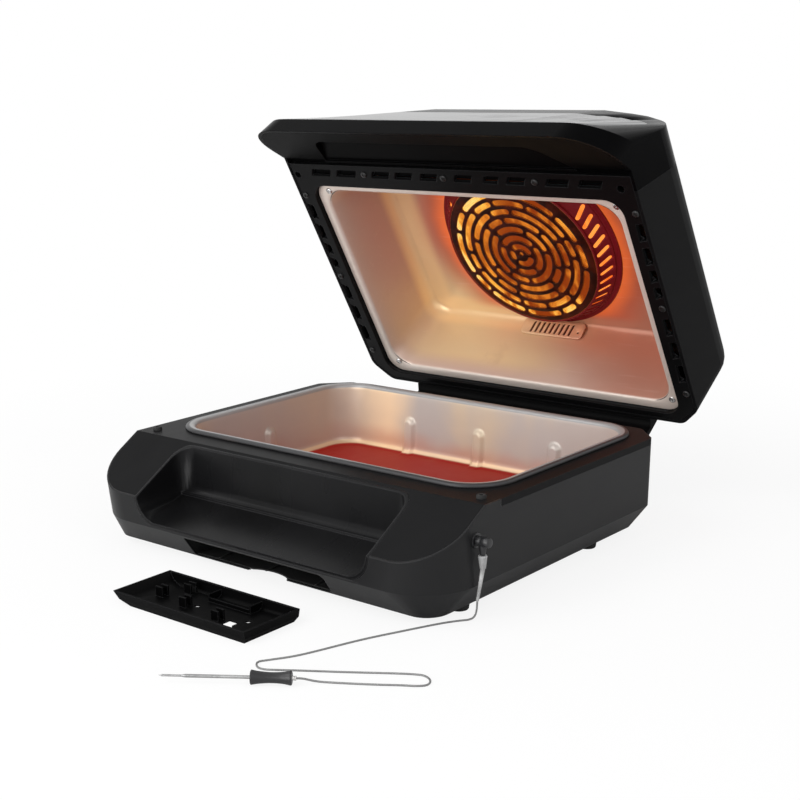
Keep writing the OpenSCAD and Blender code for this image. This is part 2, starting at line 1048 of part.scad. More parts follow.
frame_y0 = y_deck - 6.6;
frame_t = 4;
liner_w = 359;
liner_y0 = y_deck + 19;
liner_y1 = y_deck + 262;
liner_yc = (liner_y0 + liner_y1) / 2;
liner_d = liner_y1 - liner_y0;
side_x = 192;
front_row_y = y_deck + 3;
front_slots = [
    [-171, -145], [-138, -112], [-93, -70], [-64, -42], [-33, -12],
    [7, 28], [40, 58], [66, 87], [108, 133], [142, 167]
];
side_slots = [[42, 60], [67, 85], [91, 104], [110, 122], [145, 164], [172, 191], [199, 219]];
frame_screw_places = concat(
    [for (x = [-102, -5, 97]) [x, front_row_y]],
    [for (s = [-1, 1], y = [31, 133, 233]) [s * side_x, y_deck + y]]
);

// A leaning slot between two places along X
module lean_slot(x0, x1) {
    translate([0, 0, frame_z - 1])
        linear_extrude(frame_t + 2)
            polygon([[x0, 3], [x1 - 4, 3], [x1, -3], [x0 + 4, -3]]);
}

module lid_frame() {
    color([0.09, 0.09, 0.09])
        at_rest()
            difference() {
                union() {
                    intersection() {
                        slab(frame_z, frame_t)
                            lid_plan(wall + 0.5);
                        translate([-300, frame_y0, -10])
                            cube([600, lid_y_rear - wall - 0.6 - frame_y0, 20]);
                    }
                    translate([0, liner_yc, 0])
                        slab(frame_z, 4 - frame_z)
                            rounded(liner_w + 7, liner_d + 7, 20);
                }
                translate([0, liner_yc, 0])
                    slab(frame_z - 1, 1.4 - frame_z + 1)
                        rounded(liner_w + 1, liner_d + 1, 18);
                translate([0, liner_yc, 0])
                    slab(-1, 8)
                        rounded(liner_w - 16, liner_d - 16, 26);
                for (p = front_slots)
                    translate([0, front_row_y, 0])
                        lean_slot(p[0], p[1]);
                for (s = [-1, 1], p = side_slots)
                    translate([s * side_x, y_deck, 0])
                        rotate([0, 0, 90])
                            mirror([0, s > 0 ? 0 : 1, 0])
                                lean_slot(p[0], p[1]);
                for (x = [-191, 184])
                    translate([x, y_deck + 6.5, frame_z - 1])
                        cylinder(r = 3.6, h = frame_t + 2);
                for (p = frame_screw_places)
                    translate([p[0], p[1], frame_z - 1])
                        cylinder(r = 1.7, h = frame_t + 2);
                for (p = liner_screw_places)
                    translate([p[0], p[1], 0])
                        cylinder(r = 1.6, h = 8);
            }
}

// Pan-head screw, its head outwards at z = 0 and its shank up
module screw(r, len) {
    translate([0, 0, -1.5])
        difference() {
            cylinder(r1 = r - 0.5, r2 = r, h = 1.5);
            for (a = [0, 90])
                rotate([0, 0, a])
                    cube([r * 1.2, 0.7, 1.4], center = true);
        }
    cylinder(r = r * 0.45, h = len);
}

module frame_screws() {
    color([0.25, 0.25, 0.25])
        at_rest()
            for (p = frame_screw_places)
                translate([p[0], p[1], frame_z])
                    screw(3.4, 9);
}

// Wide neck from the rear of the lid down to the hinge knuckles
module lid_neck() {
    top = 16;
    drop = -deck_z - lid_gap;
    color([0.1, 0.1, 0.1])
        at_rest()
            difference() {
                union() {
                    along_x(-144, 144)
                        polygon([
                            [lid_y_rear - 1.6, top],
                            [neck_y - 4, top],
                            [neck_y + 5, top - 8],
                            [neck_y + 13, -45],
                            [neck_y + 4, -45],
                            [neck_y + 3.4, rim_z - 4],
                            [lid_y_rear + 0.3, rim_z - 0.5]
                        ]);
                    for (s = [-1, 1])
                        along_x(s > 0 ? knuckle_x0 : -knuckle_x1, s > 0 ? knuckle_x1 : -knuckle_x0)
                            union() {
                                polygon([
                                    [neck_y + 4, -30],
                                    [neck_y + 4.6, -52],
                                    [hinge_y - knuckle_r, hinge_z + drop + 2],
                                    [hinge_y, hinge_z + drop],
                                    [hinge_y + knuckle_r, hinge_z + drop + 4],
                                    [neck_y + 34, hinge_z + drop + 30],
                                    [neck_y + 13, -30]
                                ]);
                                translate([hinge_y, hinge_z + drop])
                                    circle(r = knuckle_r);
                            }
                }
                translate([-200, hinge_y, hinge_z + drop])
                    rotate([0, 90, 0])
                        cylinder(r = pin_r + 0.05, h = 400);
            }
}

module liner_solid(g, z) {
    translate([0, liner_yc, 0])
        hull() {
            slab(-1)
                rounded(liner_w - 21 + 2 * g, liner_d - 19 + 2 * g, 22 + g);
            translate([0, -2, z - 6])
                linear_extrude(e)
                    rounded(liner_w - 36 + 2 * g, liner_d - 42 + 2 * g, 22 + g);
            translate([0, -2, z])
                linear_extrude(e)
                    rounded(liner_w - 48 + 2 * g, liner_d - 52 + 2 * g, 16 + g);
        }
}

liner_screw_places = [
    [-163, y_deck + 28], [171, y_deck + 28],
    [-165, y_deck + 249], [171, y_deck + 248]
];

module lid_liner() {
    color([0.72, 0.7, 0.68])
        at_rest()
            difference() {
                union() {
                    translate([0, liner_yc, 0])
                        slab(0.2, 1.2)
                            rounded(liner_w, liner_d, 17.5);
                    intersection() {
                        liner_solid(1.2, liner_h + 1.2);
                        slab(0.2, 200)
                            square([500, 500], center = true);
                    }
                }
                liner_solid(0, liner_h);
                for (p = liner_screw_places)
                    translate([p[0], p[1], -1])
                        cylinder(r = 1.7, h = 6);
                translate([0, guard_y, liner_h - 2])
                    cylinder(r = 84, h = 8);
            }
}

module liner_screws() {
    color([0.7, 0.7, 0.7])
        at_rest()
            for (p = liner_screw_places)
                translate([p[0], p[1], 0.2])
                    screw(3.4, 5);
}

// Rings of staggered slots: inner radius, outer radius and how many slots
guard_rings = [for (i = [0 : 8]) [9 + 8.2 * i, 9 + 8.2 * i + 5.4, [3, 4, 6, 7, 9, 11, 12, 14, 16][i]]];

module guard_holes() {
    difference() {
        for (i = [0 : len(guard_rings) - 1])
            let (g = guard_rings[i])
                difference() {
                    circle(r = g[1]);
                    circle(r = g[0]);
                    for (k = [0 : g[2] - 1])
                        rotate(360 * k / g[2] + 37 * i)
                            translate([0, -1.5])
                                square([g[1] + 2, 3]);
                }
        circle(r = 4);
    }
}

// Perforated face of the fan guard
module fan_guard() {
    color([0.8, 0.4, 0.1])
        at_rest()
            translate([0, guard_y, guard_z]) {
                linear_extrude(1.2)
                    difference() {
                        circle(r = guard_r);
                        guard_holes();
                    }
            }
}

// Slotted cone between the guard's face and the liner's ceiling
module guard_drum() {
    h = drum_z - guard_z;
    color([0.35, 0.05, 0.04])
        at_rest()
            intersection() {
                liner_solid(-0.3, liner_h);
                translate([0, guard_y, guard_z])
                difference() {
                    rotate_extrude()
                        polygon([
                            [guard_r + 0.1, 0],
                            [drum_r0, 0],
                            [drum_r1, h - 1.2],
                            [drum_r1 + 5, h - 1.2],
                            [drum_r1 + 5, h - 0.1],
                            [drum_r1 - 1.2, h - 0.1],
                            [guard_r + 0.1, 1.6]
                        ]);
                    for (i = [0 : 47])
                        rotate([0, 0, 7.5 * i])
                            translate([guard_r + 6, 0, h / 2])
                                rotate([35, 0, 0])
                                    cube([34, 4.4, 15], center = true);
                }
            }
}

comb_z = 65.5;
comb_lean = atan(13.5 / (liner_h - 5));
comb_y = liner_y1 - 9.5 - 13.5 * comb_z / (liner_h - 6);

module vent_comb() {
    color([0.7, 0.68, 0.66])
        at_rest()
            translate([4, comb_y - 0.3, comb_z])
                rotate([90 + comb_lean, 0, 0])
                    difference() {
                        translate([-38, -9, 0])
                            cube([76, 17.4, 1]);
                        for (i = [0 : 7])
                            translate([-26 + 6.3 * i, 0, 0])
                                cube([3.2, 14, 8], center = true);
                        translate([32, 0, -1])
                            cylinder(r = 1.6, h = 4);
                    }
}

// Round heater of two turns in the drum
module upper_heater() {
    color([0.9, 0.35, 0.1])
        at_rest()
            translate([0, guard_y, 0]) {
                for (r = [76, 84])
                    translate([0, 0, r == 84 ? 74 : 70])
                        rotate_extrude()
                            translate([r, 0])
                                circle(r = 2.6);
                translate([0, 76, 70])
                    rotate([-63, 0, 0])
                        cylinder(r = 2.2, h = 8.8);
            }
}

module heat_shield() {
    color([0.6, 0.6, 0.6])
        at_rest()
            translate([0, guard_y, liner_h + 1.3])
                difference() {
                    cylinder(r = 92, h = 1);
                    translate([0, 0, -1])
                        cylinder(r = 12, h = 4);
                }
}

module motor_bracket() {
    color([0.55, 0.55, 0.55])
        at_rest()
            translate([0, guard_y, liner_h + 2.3])
                difference() {
                    union() {
                        for (a = [0, 120, 240])
                            rotate([0, 0, a])
                                translate([0, -8, 0])
                                    cube([70, 16, 1.5]);
                        cylinder(r = 34, h = 1.5);
                    }
                    translate([0, 0, -1])
                        cylinder(r = 10, h = 4);
                }
}

module fan_motor() {
    color([0.4, 0.4, 0.42])
        at_rest()
            translate([0, guard_y, liner_h + 3.8])
                difference() {
                    union() {
                        cylinder(r = 31, h = 4);
                        cylinder(r = 27, h = 17);
                        for (a = [0 : 60 : 300])
                            rotate([0, 0, a])
                                translate([26, -4, 0])
                                    cube([4, 8, 15]);
                    }
                    translate([0, 0, -1])
                        cylinder(r = 3.05, h = 30);
                }
}

module fan_shaft() {
    color([0.75, 0.75, 0.75])
        at_rest()
            translate([0, guard_y, guard_z + 5])
                cylinder(r = 3, h = 47);
}

// Bladed wheel that blows the hot air; its hub sits on the shaft
module fan_impeller() {
    color([0.6, 0.6, 0.62])
        at_rest()
            translate([0, guard_y, guard_z + 6])
                difference() {
                    union() {
                        cylinder(r = 9, h = 9);
                        translate([0, 0, 7.6])
                            cylinder(r = 66, h = 1);
                        for (i = [0 : 11])
                            rotate([0, 0, 30 * i])
                                translate([26, 0, 0])
                                    rotate([0, 0, 22])
                                        cube([38, 1.2, 8]);
                    }
                    translate([0, 0, -1])
                        cylinder(r = 3, h = 12);
                }
}

module cooling_fan() {
    color([0.3, 0.3, 0.3])
        at_rest()
            translate([0, guard_y, liner_h + 23])
                difference() {
                    union() {
                        cylinder(r = 8, h = 8);
                        for (i = [0 : 8])
                            rotate([0, 0, 40 * i])
                                translate([6, -0.7, 0])
                                    cube([38, 1.4, 7]);
                    }
                    translate([0, 0, -1])
                        cylinder(r = 3, h = 12);
                }
}

// Food probe and its cable, plugged into the socket and laid on the table

plug_x = half_w + 5;
neck_top = 54.5;
neck_low = 43.5;
cable_top = 16.5;

module jack_plug() {
    color([0.1, 0.1, 0.1])
        translate([half_w, probe_y, probe_z]) {
            rotate([0, 90, 0])
                cylinder(r = 4, h = 12.3);
            translate([-8, 0, 0])
                rotate([0, 90, 0])
                    cylinder(r = 1.7, h = 9);
            translate([5, 0, neck_top - probe_z])
                cylinder(r1 = 1.95, r2 = 3.6, h = probe_z - neck_top);
        }
}

// Ribbed sleeve below the plug
module plug_sleeve() {
    color([0.6, 0.6, 0.6])
        translate([plug_x, probe_y, neck_low])
            rotate_extrude()
                polygon(concat(
                    [[0, 0], [1.9, 0]],
                    [for (i = [0 : 8]) let (z = 0.8 + 1.15 * i) [2.1 + 0.12 * z + (i % 2) * 0.4, z]],
                    [[3.2, neck_top - neck_low - 0.02], [0, neck_top - neck_low - 0.02]]
                ));
}

// Soft pale boot that the thin cable leaves lower down
module cable_boot() {
    color([0.8, 0.8, 0.8])
        hull() {
            translate([plug_x, probe_y, neck_low - 0.03])
                cylinder(r = 1.85, h = e);
            translate([half_w - 0.3, probe_y, cable_top])
                cylinder(r = 1.2, h = e);
        }
}

cable_r = 0.75;
lay = cable_r + 0.1;
cable_points = [
    [half_w - 0.3, probe_y, cable_top - 0.04],
    [200.2, -118, 10.5],
    [199.2, -118.3, 5.4],
    [197.3, -119.8, 2.2],
    [194, -122.5, lay],
    [190.5, -127, lay],
    [182, -141, lay],
    [167.7, -172, lay],
    [154.4, -203, lay],
    [138.5, -249, lay],
    [126.7, -270, lay],
    [122.5, -277, lay],
    [124.4, -281.8, lay],
    [129.5, -285.3, lay],
    [135.3, -284.9, lay],
    [142.5, -280.8, lay],
    [157.2, -271.1, lay],
    [184.5, -253.8, lay],
    [211.2, -236.2, lay],
    [225, -227.8, lay],
    [233.4, -225, lay],
    [241.3, -228.6, lay],
    [244.4, -235.4, lay],
    [240.4, -241.1, lay],
    [229.7, -247.7, lay],
    [215.2, -257.3, lay],
    [197.2, -268.2, lay],
    [184, -276.2, 1.1],
    [178.6, -280.9, 2.3],
    [175.2, -285.2, 4.2],
    [173, -288.2, 5.1],
    [171.7, -289.65, 5.3]
];

// Smooth curve through the points, a ring about every six millimetres
function through(a, b, c, d, t) =
    0.5 * (2 * b + t * (c - a) + t * t * (2 * a - 5 * b + 4 * c - d) + t * t * t * (3 * b - a - 3 * c + d));
function smooth(p) =
    let (m = len(p) - 1)
    concat(
        [for (i = [0 : m - 1])
            let (n = max(1, round(norm(p[i + 1] - p[i]) / 5.6)))
            for (k = [0 : n - 1])
                through(p[max(i - 1, 0)], p[i], p[i + 1], p[min(i + 2, m)], k / n)],
        [p[m]]
    );
cable_route = smooth(cable_points);

module probe_cable() {
    color([0.6, 0.6, 0.6])
        tube(cable_route, cable_r, 8);
}

// Frame of a ring that a swept tube has at one of its points
function unit(v) = v / norm(v);
function along(p, i) = unit(p[min(i + 1, len(p) - 1)] - p[max(i - 1, 0)]);
function side(t) = unit(cross(t, abs(t[2]) > 0.9 ? [1, 0, 0] : [0, 0, 1]));
function ring(p, i, r, n) =
    let (t = along(p, i), u = side(t), w = cross(u, t))
        [for (k = [0 : n - 1]) p[i] + r * (cos(360 * k / n) * u + sin(360 * k / n) * w)];

module tube(p, r, n) {
    m = len(p);
    points = [for (i = [0 : m - 1]) each ring(p, i, r, n)];
    walls = [for (i = [0 : m - 2], k = [0 : n - 1])
        [i * n + k, i * n + (k + 1) % n, (i + 1) * n + (k + 1) % n, (i + 1) * n + k]];
    ends = [[for (k = [n - 1 : -1 : 0]) k], [for (k = [0 : n - 1]) (m - 1) * n + k]];
    polyhedron(points, concat(walls, ends), convexity = 4);
}

handle_end = [168.8, -291.4, 5.3];
handle_turn = 214;

module along_probe() {
    translate(handle_end)
        rotate([0, 0, handle_turn])
            rotate([0, 90, 0])
                children();
}

module probe_ferrule() {
    color([0.6, 0.6, 0.6])
        along_probe()
            translate([0, 0, -3.2])
                cylinder(r = 1.6, h = 3.18);
}

module probe_handle() {
    color([0.15, 0.15, 0.15])
        along_probe()
            rotate_extrude()
                polygon([
                    [0, 0], [4.9, 0], [5.2, 0.4], [4.7, 3], [4.1, 7], [3.8, 13],
                    [3.9, 18], [4.5, 24], [5.3, 28.6], [5, 29], [0, 29]
                ]);
}

module probe_needle() {
    color([0.8, 0.8, 0.8])
        along_probe()
            translate([0, 0, 29.02])
                rotate_extrude()
                    polygon([
                        [0, 0], [1.25, 0], [1.25, 46.5], [0.8, 49], [0.8, 63], [0.1, 65.5], [0, 65.5]
                    ]);
}

base_shell();
top_cover();
scoop_liner();
bottom_plate();
bottom_screws();
rubber_feet();
tray_bay();
cooking_pan();
pan_well();
lower_heater();
heater_clips();
pan_thermostat();
power_board();
deck_bumpers();
probe_socket();
mains_gland();
hinge_bracket_left();
hinge_bracket_right();
hinge_pin_left();
hinge_pin_right();
hinge_washers();
storage_tray();
lid_cover();
lid_front_cap();
control_panel();
control_board();
lid_grip();
lid_frame();
frame_screws();
lid_neck();
lid_liner();
liner_screws();
fan_guard();
guard_drum();
vent_comb();
upper_heater();
heat_shield();
motor_bracket();
fan_motor();
fan_shaft();
fan_impeller();
cooling_fan();
jack_plug();
plug_sleeve();
cable_boot();
probe_cable();
probe_ferrule();
probe_handle();
probe_needle();
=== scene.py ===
import json
import math

import bmesh
import bpy
from bpy.props import FloatProperty, FloatVectorProperty, IntProperty, PointerProperty
from mathutils import Matrix, Vector


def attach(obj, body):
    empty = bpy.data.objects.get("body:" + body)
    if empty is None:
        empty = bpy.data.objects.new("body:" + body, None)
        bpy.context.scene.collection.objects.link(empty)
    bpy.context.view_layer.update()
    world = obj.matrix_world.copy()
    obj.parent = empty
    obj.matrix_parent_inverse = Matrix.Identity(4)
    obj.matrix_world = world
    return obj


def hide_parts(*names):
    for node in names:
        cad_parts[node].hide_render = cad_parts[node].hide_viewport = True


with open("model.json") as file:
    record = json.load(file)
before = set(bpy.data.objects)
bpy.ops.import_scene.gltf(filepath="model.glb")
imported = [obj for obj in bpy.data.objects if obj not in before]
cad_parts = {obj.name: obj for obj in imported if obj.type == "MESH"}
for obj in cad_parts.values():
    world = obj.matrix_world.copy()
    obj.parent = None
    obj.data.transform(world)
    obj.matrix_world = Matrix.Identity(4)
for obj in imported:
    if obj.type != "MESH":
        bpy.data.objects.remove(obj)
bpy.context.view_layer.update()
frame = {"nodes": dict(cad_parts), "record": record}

bl_info = {
    "name": "Countertop grill and air fryer",
    "version": (1, 0, 0),
    "blender": (4, 5, 0),
    "location": "View3D > Sidebar > Grill",
    "description": "Dresses the packed model of a countertop grill with an open lid",
    "category": "Object",
}

MM = 0.001

# Levels and places that the part's source gives, in millimetres
DECK_Z = 90.5
PAN_MID_Y = 40.0
PAN_W, PAN_D, PAN_H, PAN_R, RIM_W = 368.0, 250.0, 60.0, 42.0, 8.0
RIB_XS = (-84.0, 3.0, 92.0)
OPEN_ANGLE = math.radians(60.6)
HINGE = Vector((0, 193.05, 22))
LIFT = 99.7
GUARD_Y, GUARD_Z = 25.5, 62.0
GUARD_RADIUS = 84.3
GUARD_HOLE = (92.0, 84.2)
GUARD_SLOTS = (3, 4, 5, 7, 8, 10, 12)
FACE_SHIFT = Vector((-1.5, 4.0, 0))
COMB_LEAN = math.atan2(-17, 6.3)
COMB_MIDDLE = (0, 131.0, 69.0)
FRONT_SLOTS = [(-171, -145), (-138, -112), (-93, -70), (-64, -42), (-33, -12), (7, 28), (40, 58),
               (66, 87), (108, 133), (142, 167)]
SIDE_SLOTS = [(42, 60), (67, 85), (91, 104), (110, 122), (145, 164), (172, 191), (199, 219)]
LINER_W, LINER_D, LINER_MID_Y, LINER_H = 359.0, 243.0, 34.0, 80.0
LINER_SHEET = 1.1
FRAME_Z = -5.2
FRAME_SCREWS = [(-102, -103.5), (-5, -103.5), (97, -103.5)] + [
    (s * 192, y - 106.5) for s in (-1, 1) for y in (31, 133, 233)]
LINER_SCREWS = [(-163, -78.5), (171, -78.5), (-165, 142.5), (171, 141.5)]
FEET = [(-173, -105), (173, -105), (-173, 83), (173, 83), (-112, 137), (112, 137)]
PLATE_SCREWS = [(-120, -138), (120, -138), (-150, 112), (150, 112), (0, 140)]
PROBE_Y, PROBE_Z, HALF_W = -118.0, 65.3, 201.0
LAY = 0.85
CABLE_RADIUS = 0.75
CABLE_POINTS = [
    (200.7, -118, 16.46), (200.2, -118, 10.5), (199.2, -118.3, 5.4), (197.3, -119.8, 2.2),
    (194, -122.5, LAY), (190.5, -127, LAY), (182, -141, LAY), (167.7, -172, LAY),
    (154.4, -203, LAY), (138.5, -249, LAY), (126.7, -270, LAY), (122.5, -277, LAY),
    (124.4, -281.8, LAY), (129.5, -285.3, LAY), (135.3, -284.9, LAY), (142.5, -280.8, LAY),
    (157.2, -271.1, LAY), (184.5, -253.8, LAY), (211.2, -236.2, LAY), (225, -227.8, LAY),
    (233.4, -225, LAY), (241.3, -228.6, LAY), (244.4, -235.4, LAY), (240.4, -241.1, LAY),
    (229.7, -247.7, LAY), (215.2, -257.3, LAY), (197.2, -268.2, LAY), (184, -276.2, 1.1),
    (178.6, -280.9, 2.3), (175.2, -285.2, 4.2), (173, -288.2, 5.1), (171.7, -289.65, 5.3)]
HANDLE_END = Vector((168.8, -291.4, 5.3))
HANDLE_TURN = math.radians(214)
TRAY_HOLE = ((47.6, -243.2, -1), (58.2, -233.6, 3.6))

# Camera, solved from the photograph: azimuth, elevation and roll in degrees, place in metres
CAMERA_TURNS = (39.49, 12.89, -0.96)
CAMERA_PLACE = (0.82607, -0.96620, 0.41664)
FOCAL_PIXELS, PHOTO_PIXELS, SENSOR = 1452.0, 800.0, 36.0


def lid_place():
    """Matrix from a place on the closed lid, z = 0 at its frame, to the open lid in metres."""
    return (Matrix.Scale(MM, 4) @ Matrix.Translation(HINGE) @ Matrix.Rotation(-OPEN_ANGLE, 4, "X")
            @ Matrix.Translation(-HINGE) @ Matrix.Translation((0, 0, LIFT)))


def probe_place():
    """Matrix from a place along the probe, z = 0 at its cable end, to the table in metres."""
    return (Matrix.Scale(MM, 4) @ Matrix.Translation(HANDLE_END)
            @ Matrix.Rotation(HANDLE_TURN, 4, "Z") @ Matrix.Rotation(math.pi / 2, 4, "Y"))


BENCH = Matrix.Scale(MM, 4)


# Sizes and colours that a user would change

class GrillSizes(bpy.types.PropertyGroup):
    """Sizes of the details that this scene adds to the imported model."""
    edge_radius: FloatProperty(
        name="Edge radius", description="Radius that the moulded edges are softened to",
        default=0.0009, min=0.0, subtype="DISTANCE", unit="LENGTH")
    grain_size: FloatProperty(
        name="Grain size", description="Size of the moulded grain",
        default=0.0011, min=0.0001, subtype="DISTANCE", unit="LENGTH")
    rib_radius: FloatProperty(
        name="Rib radius", description="Radius of the upright ribs pressed into the pan",
        default=0.008, min=0.004, subtype="DISTANCE", unit="LENGTH")
    rib_height: FloatProperty(
        name="Rib height", description="Height of those ribs over the pan's floor",
        default=0.038, min=0.01, subtype="DISTANCE", unit="LENGTH")
    floor_radius: FloatProperty(
        name="Floor radius", description="Radius between the pan's walls and its floor",
        default=0.009, min=0.002, subtype="DISTANCE", unit="LENGTH")
    screw_radius: FloatProperty(
        name="Screw head radius", description="Radius of the pan-head screws",
        default=0.0034, min=0.001, subtype="DISTANCE", unit="LENGTH")
    impeller_blades: IntProperty(
        name="Hot air blades", description="Blades of the wheel behind the guard",
        default=12, min=3, max=24)
    cooling_blades: IntProperty(
        name="Cooling blades", description="Blades of the wheel over the motor",
        default=9, min=3, max=18)


class GrillFinishes(bpy.types.PropertyGroup):
    """Colours of the grill and strength of its glow."""
    body: FloatVectorProperty(
        name="Body", description="Matt moulding of the base",
        default=(0.007, 0.007, 0.0075), subtype="COLOR", size=3, min=0.0, max=1.0)
    lid: FloatVectorProperty(
        name="Lid", description="Matt moulding of the lid",
        default=(0.0045, 0.0045, 0.0048), subtype="COLOR", size=3, min=0.0, max=1.0)
    deck: FloatVectorProperty(
        name="Deck", description="Satin moulding of the deck and slope",
        default=(0.009, 0.009, 0.0094), subtype="COLOR", size=3, min=0.0, max=1.0)
    gloss: FloatVectorProperty(
        name="Gloss black", description="Glossy front of the lid",
        default=(0.0016, 0.0016, 0.0018), subtype="COLOR", size=3, min=0.0, max=1.0)
    steel: FloatVectorProperty(
        name="Steel", description="Bare pressed steel",
        default=(0.55, 0.51, 0.47), subtype="COLOR", size=3, min=0.0, max=1.0)
    red_lit: FloatVectorProperty(
        name="Red-lit steel", description="Steel in the red light of the heater",
        default=(0.17, 0.012, 0.009), subtype="COLOR", size=3, min=0.0, max=1.0)
    golden: FloatVectorProperty(
        name="Golden steel", description="Steel in the pale light of the heater",
        default=(0.80, 0.62, 0.36), subtype="COLOR", size=3, min=0.0, max=1.0)
    ember: FloatVectorProperty(
        name="Ember", description="Glow of the heater",
        default=(1.0, 0.33, 0.05), subtype="COLOR", size=3, min=0.0, max=1.0)
    heater_glow: FloatProperty(
        name="Heater glow", description="Strength of the heater's own light",
        default=5.0, min=0.0)
    gauze_glow: FloatProperty(
        name="Gauze glow", description="Strength of the light in the gauze behind the guard",
        default=1.3, min=0.0)


def sizes():
    return bpy.context.scene.grill_sizes


def colours():
    return bpy.context.scene.grill_finishes


# Shader maths written as expressions

class Sock:
    """Output socket of a shader tree that takes part in Python sums."""

    def __init__(self, finish, socket):
        self.finish = finish
        self.socket = socket

    def math(self, operation, *others, clamp=False):
        return self.finish.node("ShaderNodeMath", {"operation": operation, "use_clamp": clamp},
                                dict(enumerate((self,) + others)))

    def flipped(self, operation, other):
        return self.finish.node("ShaderNodeMath", {"operation": operation}, {0: other, 1: self})

    def __add__(self, other):
        return self.math("ADD", other)

    def __radd__(self, other):
        return self.flipped("ADD", other)

    def __sub__(self, other):
        return self.math("SUBTRACT", other)

    def __rsub__(self, other):
        return self.flipped("SUBTRACT", other)

    def __mul__(self, other):
        return self.math("MULTIPLY", other)

    def __rmul__(self, other):
        return self.flipped("MULTIPLY", other)

    def __truediv__(self, other):
        return self.math("DIVIDE", other)

    def __abs__(self):
        return self.math("ABSOLUTE")

    def clamp(self):
        return self.math("ADD", 0.0, clamp=True)

    def root(self):
        return self.math("SQRT")

    def largest(self, other):
        return self.math("MAXIMUM", other)

    def ramp(self, low, high):
        """0 below low and 1 above high, smooth between; low may be the larger one."""
        return self.finish.node("ShaderNodeMapRange", {"interpolation_type": "SMOOTHSTEP"},
                                {"Value": self, "From Min": low, "From Max": high})


class Finish:
    """Builds one procedural material on Object coordinates."""

    def __init__(self, name):
        self.material = bpy.data.materials.new(name)
        self.material.use_nodes = True
        self.tree = self.material.node_tree
        self.tree.nodes.clear()
        self.place = self.node("ShaderNodeTexCoord", out="Object")

    def node(self, kind, settings=None, values=None, out=0):
        """Adds a node, sets its settings first and then the values or links of its sockets."""
        made = self.tree.nodes.new(kind)
        for key, value in (settings or {}).items():
            if key == "stops":
                ramp = made.color_ramp
                while len(ramp.elements) < len(value):
                    ramp.elements.new(0.5)
                for element, (at, colour) in zip(ramp.elements, value):
                    element.position = at
                    element.color = tuple(colour) + (1.0,)
            else:
                setattr(made, key, value)
        for key, value in (values or {}).items():
            self.put(made.inputs[key], value)
        return Sock(self, made.outputs[out])

    def put(self, socket, value):
        if isinstance(value, Sock):
            self.tree.links.new(value.socket, socket)
        elif socket.type == "RGBA" and not isinstance(value, (int, float)):
            socket.default_value = tuple(value)[:3] + (1.0,)
        else:
            socket.default_value = value

    def on_lid(self):
        """Reads places from here on as on the closed lid, in metres."""
        spot = lid_place().to_translation()
        self.place = self.node("ShaderNodeMapping", {"vector_type": "TEXTURE"}, {
            "Vector": self.place, "Location": spot, "Rotation": (-OPEN_ANGLE, 0, 0)})
        return self

    def axes(self):
        split = self.node("ShaderNodeSeparateXYZ", values={0: self.place})
        outs = split.socket.node.outputs
        return Sock(self, outs[0]), Sock(self, outs[1]), Sock(self, outs[2])

    def stretched(self, x, y, z):
        """Places stretched along the axes, so that a pattern turns into streaks."""
        return self.node("ShaderNodeMapping", values={"Vector": self.place, "Scale": (x, y, z)})

    def noise(self, scale, detail=3.0, rough=0.5, at=None):
        return self.node("ShaderNodeTexNoise", values={
            "Vector": at or self.place, "Scale": scale, "Detail": detail, "Roughness": rough})

    def mix(self, a, b, share):
        made = self.tree.nodes.new("ShaderNodeMix")
        made.data_type = "RGBA"
        for name, value in (("Factor_Float", share), ("A_Color", a), ("B_Color", b)):
            self.put(next(s for s in made.inputs if s.identifier == name), value)
        return Sock(self, next(s for s in made.outputs if s.identifier == "Result_Color"))

    def soft_edges(self, radius):
        return self.node("ShaderNodeBevel", {"samples": 4}, {"Radius": radius})

    def edge_mask(self, rounded):
        """1 on the softened edges and 0 on the flats."""
        plain = self.node("ShaderNodeNewGeometry", out="Normal")
        same = self.node("ShaderNodeVectorMath", {"operation": "DOT_PRODUCT"},
                         {0: rounded, 1: plain}, out="Value")
        return (1.0 - same).ramp(0.01, 0.16)

    def bump(self, height, depth, normal=None):
        values = {"Height": height, "Strength": 1.0, "Distance": depth}
        if normal is not None:
            values["Normal"] = normal
        return self.node("ShaderNodeBump", values=values)

    def close(self, colour, roughness, normal=None, metallic=0.0, glow=None, **uniform):
        """Joins all to the surface shader; uniform holds the sockets that are the same all over."""
        values = {"Base Color": colour, "Roughness": roughness, "Metallic": metallic}
        if normal is not None:
            values["Normal"] = normal
        if glow is not None:
            values["Emission Color"] = glow
        values.update({key.replace("_", " "): value for key, value in uniform.items()})
        shader = self.node("ShaderNodeBsdfPrincipled", values=values)
        out = self.tree.nodes.new("ShaderNodeOutputMaterial")
        self.tree.links.new(shader.socket, out.inputs["Surface"])
        return self.material


def shade(colour, factor):
    return tuple(min(1.0, c * factor) for c in colour)


FINISHES = {}


def finish_of(name, maker):
    """The material of that name, made the first time that it is asked for."""
    if name not in FINISHES:
        FINISHES[name] = maker(name)
    return FINISHES[name]


